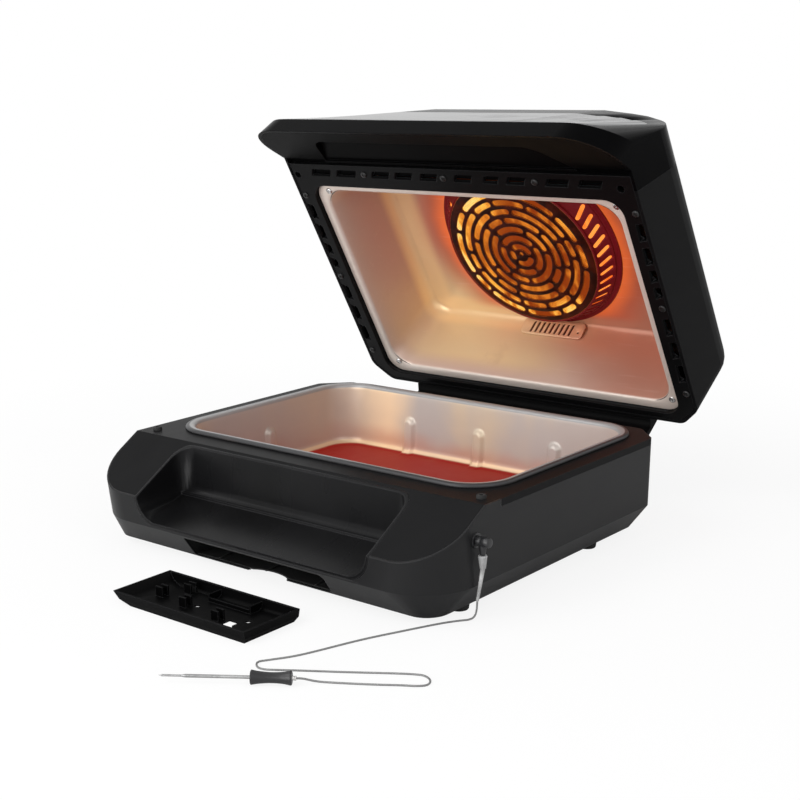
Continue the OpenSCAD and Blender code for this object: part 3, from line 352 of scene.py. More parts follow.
def moulding(tone, rough, specular, grain=1.0, edge_highlight=1.5):
    """Moulded plastic: fine grain, faint clouds in tone and sheen, and edges painted paler as a
    highlight.
    """
    def make(name):
        f = Finish(name)
        edges = f.soft_edges(sizes().edge_radius)
        mask = f.edge_mask(edges)
        clouds = f.noise(7.0, 4.0, 0.6)
        specks = f.noise(1.0 / sizes().grain_size, 2.0, 0.6)
        streaks = f.noise(60.0, 3.0, 0.55, at=f.stretched(1.0, 0.25, 1.0))
        base = f.mix(shade(tone, 0.82), shade(tone, 1.2), clouds.ramp(0.3, 0.7))
        base = f.mix(base, shade(tone, 1.35), specks.ramp(0.52, 0.8) * 0.5)
        # Painted highlight: the softened edges are painted paler than the tone.
        base = f.mix(base, shade(tone, edge_highlight), mask * 0.8)
        dull = rough + (clouds - 0.5) * 0.10 + (streaks - 0.5) * 0.07 + (specks - 0.5) * 0.08
        normal = f.bump(specks, 0.00004 * grain, edges)
        return f.close(base, (dull - mask * 0.08).clamp(), normal, Specular_IOR_Level=specular)
    return make


def gloss_moulding(tone, rough, specular):
    """High-gloss plastic with the faint ripple and hairlines of a polished mould, and edges painted
    paler as a highlight.
    """
    def make(name):
        f = Finish(name)
        edges = f.soft_edges(sizes().edge_radius * 0.8)
        mask = f.edge_mask(edges)
        ripple = f.noise(22.0, 2.0, 0.4)
        hair = f.noise(480.0, 2.0, 0.5, at=f.stretched(0.04, 1.0, 1.0))
        base = f.mix(shade(tone, 0.85), shade(tone, 1.2), ripple.ramp(0.35, 0.65))
        # Painted highlight: the softened edges are painted much paler than the tone.
        base = f.mix(base, shade(tone, 8.0), mask * 0.5)
        dull = rough + (hair - 0.5) * 0.05 + ripple.ramp(0.5, 0.8) * 0.03
        return f.close(base, dull.clamp(), f.bump(ripple, 0.00006, edges),
                       Specular_IOR_Level=specular)
    return make


def pressed_steel(f, colour, rough, metallic, brushed=(1.0, 34.0, 34.0), edge=0.0008, wash=1.0,
                  **more):
    """Ends a steel finish: brushed streaks, faint stains and softened edges over a colour."""
    edges = f.soft_edges(edge)
    streaks = f.noise(16.0, 4.0, 0.6, at=f.stretched(*brushed))
    stains = f.noise(19.0, 5.0, 0.62)
    fine = f.noise(900.0, 2.0, 0.5)
    base = f.mix(colour, (0.30, 0.14, 0.09), stains.ramp(0.60, 0.85) * 0.18)
    base = f.mix(base, (0.98, 0.90, 0.82), streaks.ramp(0.55, 0.85) * 0.12 * wash)
    dull = rough + (streaks - 0.5) * 0.16 + (stains - 0.5) * 0.12
    normal = f.bump(streaks * 0.7 + fine * 0.3, 0.00005, edges)
    return f.close(base, dull.clamp(), normal, metallic=metallic, **more)


def plain_metal(tone, rough, metallic=1.0, streak=(1.0, 1.0, 0.05)):
    """Small plain metal parts: drawn or turned marks and light tarnish."""
    def make(name):
        f = Finish(name)
        edges = f.soft_edges(0.0003)
        lines = f.noise(700.0, 3.0, 0.5, at=f.stretched(*streak))
        tarnish = f.noise(90.0, 4.0, 0.6)
        base = f.mix(shade(tone, 0.7), shade(tone, 1.1), tarnish.ramp(0.3, 0.65))
        dull = rough + (lines - 0.5) * 0.18 + (tarnish - 0.5) * 0.12
        return f.close(base, dull.clamp(), f.bump(lines, 0.00003, edges), metallic=metallic)
    return make


def rubber(tone, rough=0.75):
    def make(name):
        f = Finish(name)
        dust = f.noise(55.0, 5.0, 0.65)
        fine = f.noise(1400.0, 2.0, 0.6)
        base = f.mix(shade(tone, 0.8), shade(tone, 1.5), dust.ramp(0.45, 0.75))
        return f.close(base, (rough + (dust - 0.5) * 0.15).clamp(),
                       f.bump(fine, 0.00005, f.soft_edges(0.0004)), Specular_IOR_Level=0.3)
    return make


def bright_steel():
    return finish_of("bright_steel", plain_metal((0.66, 0.65, 0.64), 0.2))


def plain_sheet():
    return finish_of("plain_sheet", plain_metal((0.50, 0.50, 0.51), 0.38, streak=(0.05, 1, 1)))


def plain_brass():
    return finish_of("plain_brass", plain_metal((0.66, 0.50, 0.24), 0.3))


def plug_moulding():
    return finish_of("plug_moulding", moulding((0.012, 0.012, 0.013), 0.32, 0.4, 0.4))


def black_rubber():
    return finish_of("rubber_black", rubber((0.02, 0.02, 0.02)))


def pan_steel(name):
    """Pan: bare grey rim, pale golden walls in painted heater light, and a floor red with the
    painted light of the heater.
    """
    f = Finish(name)
    c = colours()
    x, y, z = f.axes()
    height = (z / MM - (DECK_Z - PAN_H)) / PAN_H
    across = x / MM
    wobble = f.noise(9.0, 3.0, 0.6) - 0.5
    # Painted heater light on the walls: golden patches, a bright golden rear-left corner and redder
    # low walls; the walls are greyer towards both ends.
    golden = f.noise(11.0, 2.0, 0.5, at=f.stretched(1.0, 1.0, 0.15))
    corner = (abs(across + 128.0) + wobble * 50.0).ramp(60.0, 15.0) * (y / MM).ramp(70.0, 140.0)
    wall = f.mix(c.steel, c.golden, (golden + wobble * 0.4).ramp(0.45, 0.66) * 0.5)
    wall = f.mix(wall, (1.0, 0.76, 0.50), corner)
    wall = f.mix(wall, (0.66, 0.27, 0.16), (height + wobble * 0.9).ramp(0.50, 0.15) * 0.5)
    right_end = (across + wobble * 60.0).ramp(60.0, 165.0)
    wall = f.mix(wall, (0.50, 0.43, 0.39), right_end * 0.75)
    left_end = (across * -1.0 + wobble * 60.0).ramp(110.0, 175.0)
    wall = f.mix(wall, (0.42, 0.36, 0.33), left_end * 0.7)
    # Painted highlight: a pale golden band low on the walls, where they turn into the floor.
    surface = f.mix(wall, shade(c.golden, 1.15), height.ramp(0.10, 0.07) * 0.5)
    red = f.mix(c.red_lit, shade(c.red_lit, 0.8), (across + wobble * 90.0).ramp(-60.0, 120.0))
    floor = height.ramp(0.042, 0.018)
    surface = f.mix(surface, red, floor)
    # The painted red light on the floor also glows.
    glow = f.mix((0.0, 0.0, 0.0), (0.13, 0.004, 0.002), floor)
    out_x = (abs(across) - (PAN_W / 2 - PAN_R)).largest(0.0)
    out_y = (abs(y / MM - PAN_MID_Y) - (PAN_D / 2 - PAN_R)).largest(0.0)
    outward = (out_x * out_x + out_y * out_y).root()
    rim = f.mix((0.34, 0.34, 0.34), (0.05, 0.05, 0.052), outward.ramp(PAN_R - 4.6, PAN_R - 3.2))
    surface = f.mix(surface, rim, height.ramp(0.99, 1.01))
    return pressed_steel(f, surface, 0.33 + floor * 0.2, (1.0 - floor) * 0.2,
                         brushed=(1.0, 1.0, 12.0), wash=0.25, glow=glow,
                         Emission_Strength=1.0, Specular_IOR_Level=0.14)


def liner_steel(name):
    """Lid liner: pinkish pressed steel, golden and red where the heater lights it."""
    f = Finish(name).on_lid()
    c = colours()
    x, y, z = (axis / MM for axis in f.axes())
    wobble = (f.noise(8.0, 3.0, 0.6) - 0.5) * 60.0
    from_fan = (x * x + (y - GUARD_Y) * (y - GUARD_Y)).root() + wobble * 0.5
    # Painted light and shade: the pink is paler near the rim and redder further in, paler to the
    # left and redder to the right, with a golden patch of heater light towards the rear-left.
    deep = z.ramp(2.0, 70.0)
    pink = f.mix((0.62, 0.45, 0.37), (0.60, 0.27, 0.17), deep)
    pink = f.mix(pink, (0.60, 0.47, 0.40), (x + wobble).ramp(-90.0, -175.0) * 0.6)
    pink = f.mix(pink, (0.44, 0.18, 0.12), (x + wobble).ramp(30.0, 120.0) * 0.75)
    gold_at = ((x + 75.0) * (x + 75.0) * 0.5 + (y - 128.0) * (y - 128.0)).root() + wobble
    surface = f.mix(pink, c.golden, gold_at.ramp(105.0, 25.0) * 0.95 * z.ramp(2.0, 25.0))
    # Painted highlight: pale golden lines along the creases where the ceiling meets the left and
    # rear walls.
    side_crease_highlight = (x + wobble * 0.15).ramp(-126.0, -142.0) * z.ramp(58.0, 72.0)
    rear_crease_highlight = (y + wobble * 0.15).ramp(104.0, 116.0) * z.ramp(58.0, 72.0)
    streak = side_crease_highlight.largest(rear_crease_highlight * x.ramp(60.0, -40.0))
    surface = f.mix(surface, (0.95, 0.68, 0.36), streak * 0.75)
    # Painted red light of the heater near the fan, with less of it at the rear. After it, the steel
    # is darker red towards the front.
    near_fan = from_fan.ramp(150.0, 100.0) * z.ramp(20.0, 60.0) * (1.0 - y.ramp(112.0, 124.0) * 0.8)
    surface = f.mix(surface, (0.62, 0.10, 0.035), near_fan * 0.9)
    surface = f.mix(surface, (0.42, 0.11, 0.06), y.ramp(-52.0, -86.0) * z.ramp(6.0, 40.0) * 0.6)
    surface = f.mix(surface, (0.66, 0.58, 0.52), z.ramp(3.5, 1.5) * 0.9)
    # The painted heater light near the fan also glows.
    glow = f.mix((0.0, 0.0, 0.0), (1.0, 0.20, 0.02), from_fan.ramp(122.0, 100.0)
                 * z.ramp(30.0, 75.0) * (1.0 - y.ramp(112.0, 122.0)))
    return pressed_steel(f, surface, 0.36, 0.24, brushed=(1.0, 14.0, 14.0), glow=glow,
                         Emission_Strength=0.34)


def guard_coating(name):
    """Guard: dark coating browned by heat, red at its bars' edges with painted heater light that
    also glows.
    """
    f = Finish(name).on_lid()
    x, y = (axis / MM for axis in f.axes()[:2])
    edges = f.soft_edges(0.0008)
    mask = f.edge_mask(edges)
    spots = f.noise(70.0, 4.0, 0.6)
    base = f.mix((0.020, 0.0025, 0.001), (0.07, 0.008, 0.002), spots.ramp(0.35, 0.7))
    drum = ((x + 1.5) * (x + 1.5) + (y - 29.5) * (y - 29.5)).root().ramp(84.0, 85.5)
    base = f.mix(base, (0.20, 0.008, 0.013), drum * 0.92)
    # Painted heater light: the bars' edges are painted red-orange and, on the guard, also glow.
    base = f.mix(base, f.mix((0.45, 0.12, 0.03), (0.34, 0.05, 0.05), drum), mask * 0.6)
    glow = f.mix((0.0, 0.0, 0.0), (0.42, 0.08, 0.006), mask * spots.ramp(0.3, 0.6) * (1.0 - drum))
    return f.close(base, (0.46 + (spots - 0.5) * 0.3).clamp(), f.bump(spots, 0.00008, edges),
                   metallic=0.2, glow=glow, Emission_Strength=0.8, Specular_IOR_Level=0.15)


def glowing_gauze(name):
    """Gauze behind the guard: woven wire that glows amber with painted heater light, with brighter
    and darker parts.
    """
    f = Finish(name).on_lid()
    c = colours()
    x, y, z = (axis / MM for axis in f.axes())
    flat = f.node("ShaderNodeMapping", values={"Vector": f.place, "Rotation": (0, 0, 0.6)})
    wires = f.node("ShaderNodeTexWave", {"wave_type": "BANDS", "bands_direction": "X"},
                   {"Vector": flat, "Scale": 260.0, "Distortion": 1.5, "Detail": 2.0})
    across = f.node("ShaderNodeTexWave", {"wave_type": "BANDS", "bands_direction": "Y"},
                    {"Vector": flat, "Scale": 180.0, "Distortion": 2.0, "Detail": 1.0})
    patches = f.noise(42.0, 3.0, 0.6, at=f.stretched(1.0, 0.55, 1.0))
    grains = f.noise(620.0, 2.0, 0.6)
    weave = (wires * 0.35 + across * 0.25 + grains * 0.55).clamp()
    from_fan = (x * x + (y - GUARD_Y) * (y - GUARD_Y)).root()
    # Painted heater light: the glow is stronger in patches, towards one side and near the guard's
    # rim.
    lit_side = (x * -0.8 + (y - GUARD_Y) * -0.5).ramp(5.0, 85.0)
    heat = (patches.ramp(0.40, 0.70) * 0.45 + lit_side * 0.55
            + from_fan.ramp(58.0, 84.0) * patches.ramp(0.45, 0.6) * 0.5).clamp()
    amber = f.mix((0.22, 0.032, 0.002), (0.64, 0.19, 0.016), heat.ramp(0.0, 0.45))
    amber = f.mix(amber, (0.98, 0.50, 0.07), heat.ramp(0.40, 0.85))
    amber = f.mix(amber, (1.0, 0.66, 0.22), heat.ramp(0.7, 1.0) * weave.ramp(0.45, 0.7))
    amber = f.mix(amber, (0.09, 0.009, 0.001), weave.ramp(0.55, 0.30) * 0.75)
    wall = z.ramp(GUARD_Z + 2.0, GUARD_Z + 2.8)
    lit_wall = f.mix((0.85, 0.13, 0.012), (1.0, 0.30, 0.05), patches.ramp(0.4, 0.6))
    amber = f.mix(amber, lit_wall, wall)
    return f.close((0.03, 0.004, 0.001), 0.7, f.bump(weave, 0.0001), glow=amber,
                   Emission_Strength=c.gauze_glow, Specular_IOR_Level=0.1)


def glowing_tube(name):
    """Heater tube: scale over a bright orange core."""
    f = Finish(name)
    scale = f.noise(140.0, 5.0, 0.65)
    glow = f.mix(shade(colours().ember, 0.6), (1.0, 0.55, 0.16), scale.ramp(0.35, 0.7))
    return f.close((0.30, 0.12, 0.06), (0.6 + (scale - 0.5) * 0.3).clamp(),
                   f.bump(scale, 0.0001), glow=glow, Emission_Strength=colours().heater_glow)


def scaled_tube(name):
    """Cold heater tube with grey-brown scale."""
    f = Finish(name)
    scale = f.noise(150.0, 5.0, 0.65)
    base = f.mix((0.13, 0.115, 0.105), (0.30, 0.25, 0.21), scale.ramp(0.35, 0.7))
    return f.close(base, (0.6 + (scale - 0.5) * 0.3).clamp(), f.bump(scale, 0.0001), metallic=0.5)


def circuit_board(name):
    """Green laminate with a faint pattern of copper runs under its mask."""
    f = Finish(name)
    runs = f.node("ShaderNodeTexBrick", values={
        "Vector": f.place, "Scale": 90.0, "Color1": (0, 0, 0), "Color2": (0.4, 0.4, 0.4),
        "Mortar": (1, 1, 1), "Mortar Size": 0.06}, out="Fac")
    clouds = f.noise(40.0, 3.0, 0.5)
    base = f.mix((0.015, 0.11, 0.035), (0.03, 0.19, 0.06), clouds.ramp(0.3, 0.7))
    base = f.mix(base, (0.06, 0.27, 0.09), runs * 0.6)
    return f.close(base, (0.4 + (clouds - 0.5) * 0.2).clamp(), f.bump(runs, 0.00005))


def panel_glass(name):
    """Black glass-like panel with a fine printed border and faint smears."""
    f = Finish(name).on_lid()
    across = abs(f.axes()[0] / MM)
    smears = f.noise(26.0, 4.0, 0.6, at=f.stretched(0.4, 1.0, 1.0))
    base = f.mix((0.004, 0.004, 0.005), (0.009, 0.009, 0.010), smears.ramp(0.35, 0.7))
    base = f.mix(base, (0.03, 0.03, 0.032), across.ramp(179.0, 182.5) * 0.6)
    return f.close(base, (0.06 + smears.ramp(0.45, 0.8) * 0.10).clamp(),
                   f.bump(smears, 0.00002, f.soft_edges(0.0004)), Specular_IOR_Level=0.02)


def scoop_gloss(name):
    """Scoop: satin-gloss moulding with soft drag marks down its back, and edges painted paler as a
    highlight.
    """
    f = Finish(name)
    edges = f.soft_edges(0.0016)
    drag = f.noise(26.0, 3.0, 0.5, at=f.stretched(1.0, 0.2, 0.2))
    clouds = f.noise(9.0, 3.0, 0.5)
    grain = f.noise(900.0, 2.0, 0.5)
    base = f.mix((0.0035, 0.0035, 0.0037), (0.007, 0.007, 0.0075), clouds.ramp(0.3, 0.7))
    # Painted highlight: the softened edges are painted paler grey.
    base = f.mix(base, (0.03, 0.03, 0.032), f.edge_mask(edges) * 0.6)
    dull = 0.26 + (drag - 0.5) * 0.12 + (clouds - 0.5) * 0.08
    return f.close(base, dull.clamp(), f.bump(grain * 0.3 + drag * 0.7, 0.00008, edges),
                   Specular_IOR_Level=0.11)


def cable_sheath(name):
    """Thin grey sheath with a close braid over the wire."""
    f = Finish(name)
    braid = f.node("ShaderNodeTexWave", {"wave_type": "BANDS", "bands_direction": "DIAGONAL"},
                   {"Vector": f.place, "Scale": 420.0, "Distortion": 0.6, "Detail": 1.0})
    clouds = f.noise(60.0, 2.0, 0.5)
    base = f.mix((0.10, 0.10, 0.10), (0.30, 0.30, 0.30), braid * 0.7 + clouds * 0.3)
    return f.close(base, (0.45 + (braid - 0.5) * 0.15).clamp(), f.bump(braid, 0.0001), metallic=0.4)


# Mesh helpers, all in millimetres before a matrix puts the piece in place

def rounded_ring(half_w, half_d, radius, mid_y, z, xs, ys, arc=10):
    """Points round a rounded rectangle, the same count for any size: (point, wall, place on it)."""
    cx, cy = half_w - radius, half_d - radius
    xs = [max(-cx, min(cx, u)) for u in xs]
    ys = [max(-cy, min(cy, v)) for v in ys]
    ring = []

    def corner(sx, sy, start):
        for i in range(arc + 1):
            a = math.radians(start + 90.0 * i / arc)
            ring.append((Vector((sx * cx + radius * math.cos(a),
                                 mid_y + sy * cy + radius * math.sin(a), z)), "", 0.0))

    for v in ys:
        ring.append((Vector((half_w, mid_y + v, z)), "E", v))
    corner(1, 1, 0)
    for u in reversed(xs):
        ring.append((Vector((u, mid_y + half_d, z)), "N", u))
    corner(-1, 1, 90)
    for v in reversed(ys):
        ring.append((Vector((-half_w, mid_y + v, z)), "W", v))
    corner(-1, -1, 180)
    for u in xs:
        ring.append((Vector((u, mid_y - half_d, z)), "S", u))
    corner(1, -1, 270)
    return ring


def loft(bm, rings, cap_first=False, cap_last=False):
    """Joins rings of equal counts with quads; a cap closes on one point in the middle."""
    made = [[bm.verts.new(p) for p in ring] for ring in rings]
    count = len(made[0])
    for a, b in zip(made, made[1:]):
        for i in range(count):
            j = (i + 1) % count
            bm.faces.new((a[i], a[j], b[j], b[i]))
    for wanted, ring, flip in ((cap_first, made[0], True), (cap_last, made[-1], False)):
        if wanted:
            middle = bm.verts.new(sum((v.co for v in ring), Vector()) / count)
            for i in range(count):
                j = (i + 1) % count
                bm.faces.new((ring[j], ring[i], middle) if flip else (ring[i], ring[j], middle))
    return made


def circle(radius, z, count):
    """Points round a circle about Z."""
    return [Vector((radius * math.cos(2 * math.pi * i / count),
                    radius * math.sin(2 * math.pi * i / count), z)) for i in range(count)]


def lathe(bm, profile, segments=48, turn=Matrix.Identity(4)):
    """Turns (radius, z) points round Z and closes both ends."""
    rings = [[turn @ p for p in circle(max(r, 0.0005), z, segments)] for r, z in profile]
    loft(bm, rings, cap_first=True, cap_last=True)


def sweep(bm, points, radius, sides=12):
    """Closed tube along the points; radius is a number or a function of the share of the way."""
    points = [Vector(p) for p in points]
    last = len(points) - 1
    side = None
    rings = []
    for i, p in enumerate(points):
        along = (points[min(i + 1, last)] - points[max(i - 1, 0)]).normalized()
        if side is None:
            side = along.orthogonal().normalized()
        side = (side - along * side.dot(along)).normalized()
        other = along.cross(side)
        r = radius(i / last) if callable(radius) else radius
        rings.append([p + (side * math.cos(2 * math.pi * k / sides)
                           + other * math.sin(2 * math.pi * k / sides)) * r for k in range(sides)])
    loft(bm, rings, cap_first=True, cap_last=True)


def block(bm, low, high, soft=0.0):
    """Box between two corners, its edges rounded by soft."""
    made = bmesh.ops.create_cube(bm, size=1.0)["verts"]
    low, high = Vector(low), Vector(high)
    for v in made:
        v.co = Vector(low[i] + (v.co[i] + 0.5) * (high[i] - low[i]) for i in range(3))
    if soft > 0:
        edges = list({e for v in made for e in v.link_edges})
        bmesh.ops.bevel(bm, geom=edges, offset=soft, segments=2, profile=0.5, affect="EDGES")


def arc_slot(radius, half, start, end):
    """Outline of a slot that follows a ring and has round ends, as (x, y) points."""
    start, end = start + half / radius, end - half / radius
    steps = max(3, round((end - start) * radius / 3.0))
    points = []
    for side, turns in ((1, range(steps + 1)), (-1, range(steps, -1, -1))):
        for k in turns:
            a = start + (end - start) * k / steps
            reach = radius + side * half
            points.append((reach * math.cos(a), reach * math.sin(a)))
        a = end if side > 0 else start
        out, along = Vector((math.cos(a), math.sin(a))), Vector((-math.sin(a), math.cos(a)))
        for k in range(1, 5):
            t = math.pi * k / 5
            p = out * (radius + side * half * math.cos(t)) + along * side * half * math.sin(t)
            points.append(tuple(p))
    return points


def pill(x, y, half_w, half_h, lean=0.0, corner=None):
    """Outline of an upright slot or plate with round corners, as (x, y) points."""
    r = min(half_w, half_h) if corner is None else corner
    points = []
    for sx, sy, start in ((1, 1, 0), (-1, 1, 90), (-1, -1, 180), (1, -1, 270)):
        for k in range(6):
            a = math.radians(start + 18 * k)
            v = sy * (half_h - r) + r * math.sin(a)
            points.append((x + sx * (half_w - r) + r * math.cos(a) + lean * v, y + v))
    return points


def cut_sheet(outlines, thick, soft):
    """Flat sheet round z = 0: the first outline is its edge and the others are cut through it."""
    curve = bpy.data.curves.new("Sheet", "CURVE")
    curve.dimensions = "2D"
    curve.fill_mode = "BOTH"
    curve.extrude = thick / 2 - soft
    curve.bevel_depth = soft
    curve.bevel_resolution = 1
    for outline in outlines:
        line = curve.splines.new("POLY")
        line.points.add(len(outline) - 1)
        for point, (x, y) in zip(line.points, outline):
            point.co = (x, y, 0.0, 1.0)
        line.use_cyclic_u = True
    holder = bpy.data.objects.new("Sheet", curve)
    bpy.context.scene.collection.objects.link(holder)
    bm = bmesh.new()
    bm.from_mesh(evaluated_mesh(holder))
    bpy.data.objects.remove(holder)
    bmesh.ops.remove_doubles(bm, verts=bm.verts, dist=0.0005)
    return bm


def through(points, step=2.5):
    """Smooth curve through the points, with a point about every step millimetres."""
    p = [Vector(v) for v in points]
    last = len(p) - 1
    route = []
    for i in range(last):
        a, b, c, d = p[max(i - 1, 0)], p[i], p[i + 1], p[min(i + 2, last)]
        n = max(1, round((c - b).length / step))
        for k in range(n):
            t = k / n
            route.append(0.5 * (2 * b + t * (c - a) + t * t * (2 * a - 5 * b + 4 * c - d)
                                + t ** 3 * (3 * b - a - 3 * c + d)))
    route.append(p[last])
    return route


def length_of(route):
    return sum((b - a).length for a, b in zip(route, route[1:]))


def finished(name, bm, place, finish, body, nodes=(), angle=32.0, even=True):
    """Ends a piece: in place at the origin, smooth by angle, riding on its body."""
    mesh = bpy.data.meshes.new(name)
    bm.transform(place)
    bm.normal_update()
    if even:
        bmesh.ops.recalc_face_normals(bm, faces=bm.faces)
    bm.to_mesh(mesh)
    bm.free()
    return placed(name, mesh, finish, body, nodes, angle)


def placed(name, mesh, finish, body, nodes=(), angle=32.0):
    if angle:
        mesh.shade_smooth()
        mesh.set_sharp_from_angle(angle=math.radians(angle))
    mesh.materials.clear()
    mesh.materials.append(finish)
    piece = bpy.data.objects.new(name, mesh)
    bpy.context.scene.collection.objects.link(piece)
    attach(piece, body)
    if nodes:
        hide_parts(*nodes)
    return piece


def slot_and_body(node):
    rows = {row["node"]: row["material_slot"] for row in frame["record"]["subparts"]}
    bodies = frame["record"]["behaviour"]["bodies"]
    return rows[node], next(name for name, nodes in bodies.items() if node in nodes)


def evaluated_mesh(piece):
    """Plain mesh of a piece with its modifiers worked in."""
    depsgraph = bpy.context.evaluated_depsgraph_get()
    return bpy.data.meshes.new_from_object(piece.evaluated_get(depsgraph))


def carved(mesh, cutter):
    """The mesh with a second one, in the same units, cut out of it."""
    other = bpy.data.meshes.new("Cutter")
    bmesh.ops.recalc_face_normals(cutter, faces=cutter.faces)
    cutter.to_mesh(other)
    cutter.free()
    tool = bpy.data.objects.new("Cutter", other)
    holder = bpy.data.objects.new("Holder", mesh)
    for piece in (tool, holder):
        bpy.context.scene.collection.objects.link(piece)
    cut = holder.modifiers.new("Cut", "BOOLEAN")
    cut.operation = "DIFFERENCE"
    cut.solver = "EXACT"
    cut.object = tool
    result = evaluated_mesh(holder)
    for piece in (tool, holder):
        bpy.data.objects.remove(piece)
    return result


def dressed(node, name, finish, angle=30.0, cutter=None):
    """Welded copy of a CAD node with smooth faces and even normals, standing for the node."""
    slot, body = slot_and_body(node)
    mesh = frame["nodes"][node].data.copy()
    for cut in (False, True) if cutter else (False,):
        if cut:
            mesh = carved(mesh, cutter)
        bm = bmesh.new()
        bm.from_mesh(mesh)
        bmesh.ops.remove_doubles(bm, verts=bm.verts, dist=0.00001)
        bmesh.ops.dissolve_degenerate(bm, edges=bm.edges, dist=0.00001)
        if cut or not cutter:
            bmesh.ops.dissolve_limit(bm, angle_limit=math.radians(0.3), verts=bm.verts,
                                     edges=bm.edges)
        bm.to_mesh(mesh)
        bm.free()
    mesh.shade_smooth()
    mesh.set_sharp_from_angle(angle=math.radians(angle))
    piece = bpy.data.objects.new(name, mesh)
    bpy.context.scene.collection.objects.link(piece)
    even = piece.modifiers.new("Even normals", "WEIGHTED_NORMAL")
    even.keep_sharp = True
    even.weight = 60
    plain = evaluated_mesh(piece)
    plain.name = name
    piece.modifiers.clear()
    piece.data = plain
    plain.materials.clear()
    plain.materials.append(finish)
    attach(piece, body)
    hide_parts(node)
    return piece


def repaint(node, finish):
    """A CAD node that keeps its own mesh gets its finished material."""
    mesh = frame["nodes"][node].data
    mesh.materials.clear()
    mesh.materials.append(finish)


# Geometry Nodes trees for what repeats

def tree_node(tree, kind, settings=None, links=None):
    made = tree.nodes.new(kind)
    for key, value in (settings or {}).items():
        setattr(made, key, value)
    for key, value in (links or {}).items():
        if isinstance(value, bpy.types.NodeSocket):
            tree.links.new(value, made.inputs[key])
        else:
            made.inputs[key].default_value = value
    return made


def open_tree(name, inputs):
    """New geometry tree and its named inputs, each given as (name, kind)."""
    tree = bpy.data.node_groups.new(name, "GeometryNodeTree")
    for label, kind in inputs:
        tree.interface.new_socket(label, in_out="INPUT", socket_type="NodeSocket" + kind)
    tree.interface.new_socket("Geometry", in_out="OUTPUT", socket_type="NodeSocketGeometry")
    return tree, tree.nodes.new("NodeGroupInput").outputs


def close_tree(tree, copies, finish):
    """Ends a tree: real copies, all in one finish."""
    real = tree_node(tree, "GeometryNodeRealizeInstances", links={0: copies.outputs[0]})
    paint = tree_node(tree, "GeometryNodeSetMaterial", links={
        "Geometry": real.outputs[0], "Material": finish})
    out = tree.nodes.new("NodeGroupOutput")
    tree.links.new(paint.outputs[0], out.inputs[0])
    return tree


def scatter_tree():
    """Puts one hand-made piece on each point of a mesh, at one tilt and size."""
    tree, given = open_tree("Piece on each point", (
        ("Points", "Geometry"), ("Piece", "Object"), ("Tilt", "Vector"), ("Size", "Float"),
        ("Turn step", "Float"), ("Finish", "Material")))
    info = tree_node(tree, "GeometryNodeObjectInfo", links={"Object": given["Piece"]})
    index = tree_node(tree, "GeometryNodeInputIndex")
    turn = tree_node(tree, "ShaderNodeMath", {"operation": "MULTIPLY"},
                     {0: index.outputs[0], 1: given["Turn step"]})
    spin = tree_node(tree, "ShaderNodeCombineXYZ", links={2: turn.outputs[0]})
    tilt = tree_node(tree, "FunctionNodeEulerToRotation", links={0: given["Tilt"]})
    own = tree_node(tree, "FunctionNodeEulerToRotation", links={0: spin.outputs[0]})
    both = tree_node(tree, "FunctionNodeRotateRotation", {"rotation_space": "LOCAL"},
                     {0: tilt.outputs[0], 1: own.outputs[0]})
    each = tree_node(tree, "GeometryNodeInstanceOnPoints", links={
        "Points": given["Points"], "Instance": info.outputs["Geometry"],
        "Rotation": both.outputs[0], "Scale": given["Size"]})
    return close_tree(tree, each, given["Finish"])


def wheel_tree():
    """Puts count copies of one blade round an axis."""
    tree, given = open_tree("Blades round an axis", (
        ("Blade", "Object"), ("Count", "Int"), ("Finish", "Material")))
    info = tree_node(tree, "GeometryNodeObjectInfo", links={"Object": given["Blade"]})
    axis = tree_node(tree, "GeometryNodeMeshLine", {"mode": "OFFSET"}, {
        "Count": given["Count"], "Offset": (0.0, 0.0, 0.0)})
    index = tree_node(tree, "GeometryNodeInputIndex")
    step = tree_node(tree, "ShaderNodeMath", {"operation": "DIVIDE"},
                     {0: 2 * math.pi, 1: given["Count"]})
    turn = tree_node(tree, "ShaderNodeMath", {"operation": "MULTIPLY"},
                     {0: index.outputs[0], 1: step.outputs[0]})
    spin = tree_node(tree, "ShaderNodeCombineXYZ", links={2: turn.outputs[0]})
    each = tree_node(tree, "GeometryNodeInstanceOnPoints", links={
        "Points": axis.outputs[0], "Instance": info.outputs["Geometry"],
        "Rotation": spin.outputs[0]})
    return close_tree(tree, each, given["Finish"])


def tree_mesh(tree, start, inputs):
    """Runs a tree on a mesh and gives back the plain result."""
    holder = bpy.data.objects.new("Holder", start)
    bpy.context.scene.collection.objects.link(holder)
    made = holder.modifiers.new("Tree", "NODES")
    made.node_group = tree
    keys = {item.name: item.identifier for item in tree.interface.items_tree
            if item.item_type == "SOCKET" and item.in_out == "INPUT"}
    for name, value in inputs.items():
        made[keys[name]] = value
    mesh = evaluated_mesh(holder)
    bpy.data.objects.remove(holder)
    return mesh


def as_source(name, bm):
    """Keeps a hand-made piece out of the scene, for a tree to copy."""
    mesh = bpy.data.meshes.new(name)
    bmesh.ops.recalc_face_normals(bm, faces=bm.faces)
    bm.to_mesh(mesh)
    bm.free()
    mesh.shade_smooth()
    mesh.set_sharp_from_angle(angle=math.radians(35))
    return bpy.data.objects.new(name, mesh)


def points_mesh(points):
    mesh = bpy.data.meshes.new("Places")
    mesh.from_pydata([tuple(p) for p in points], [], [])
    return mesh


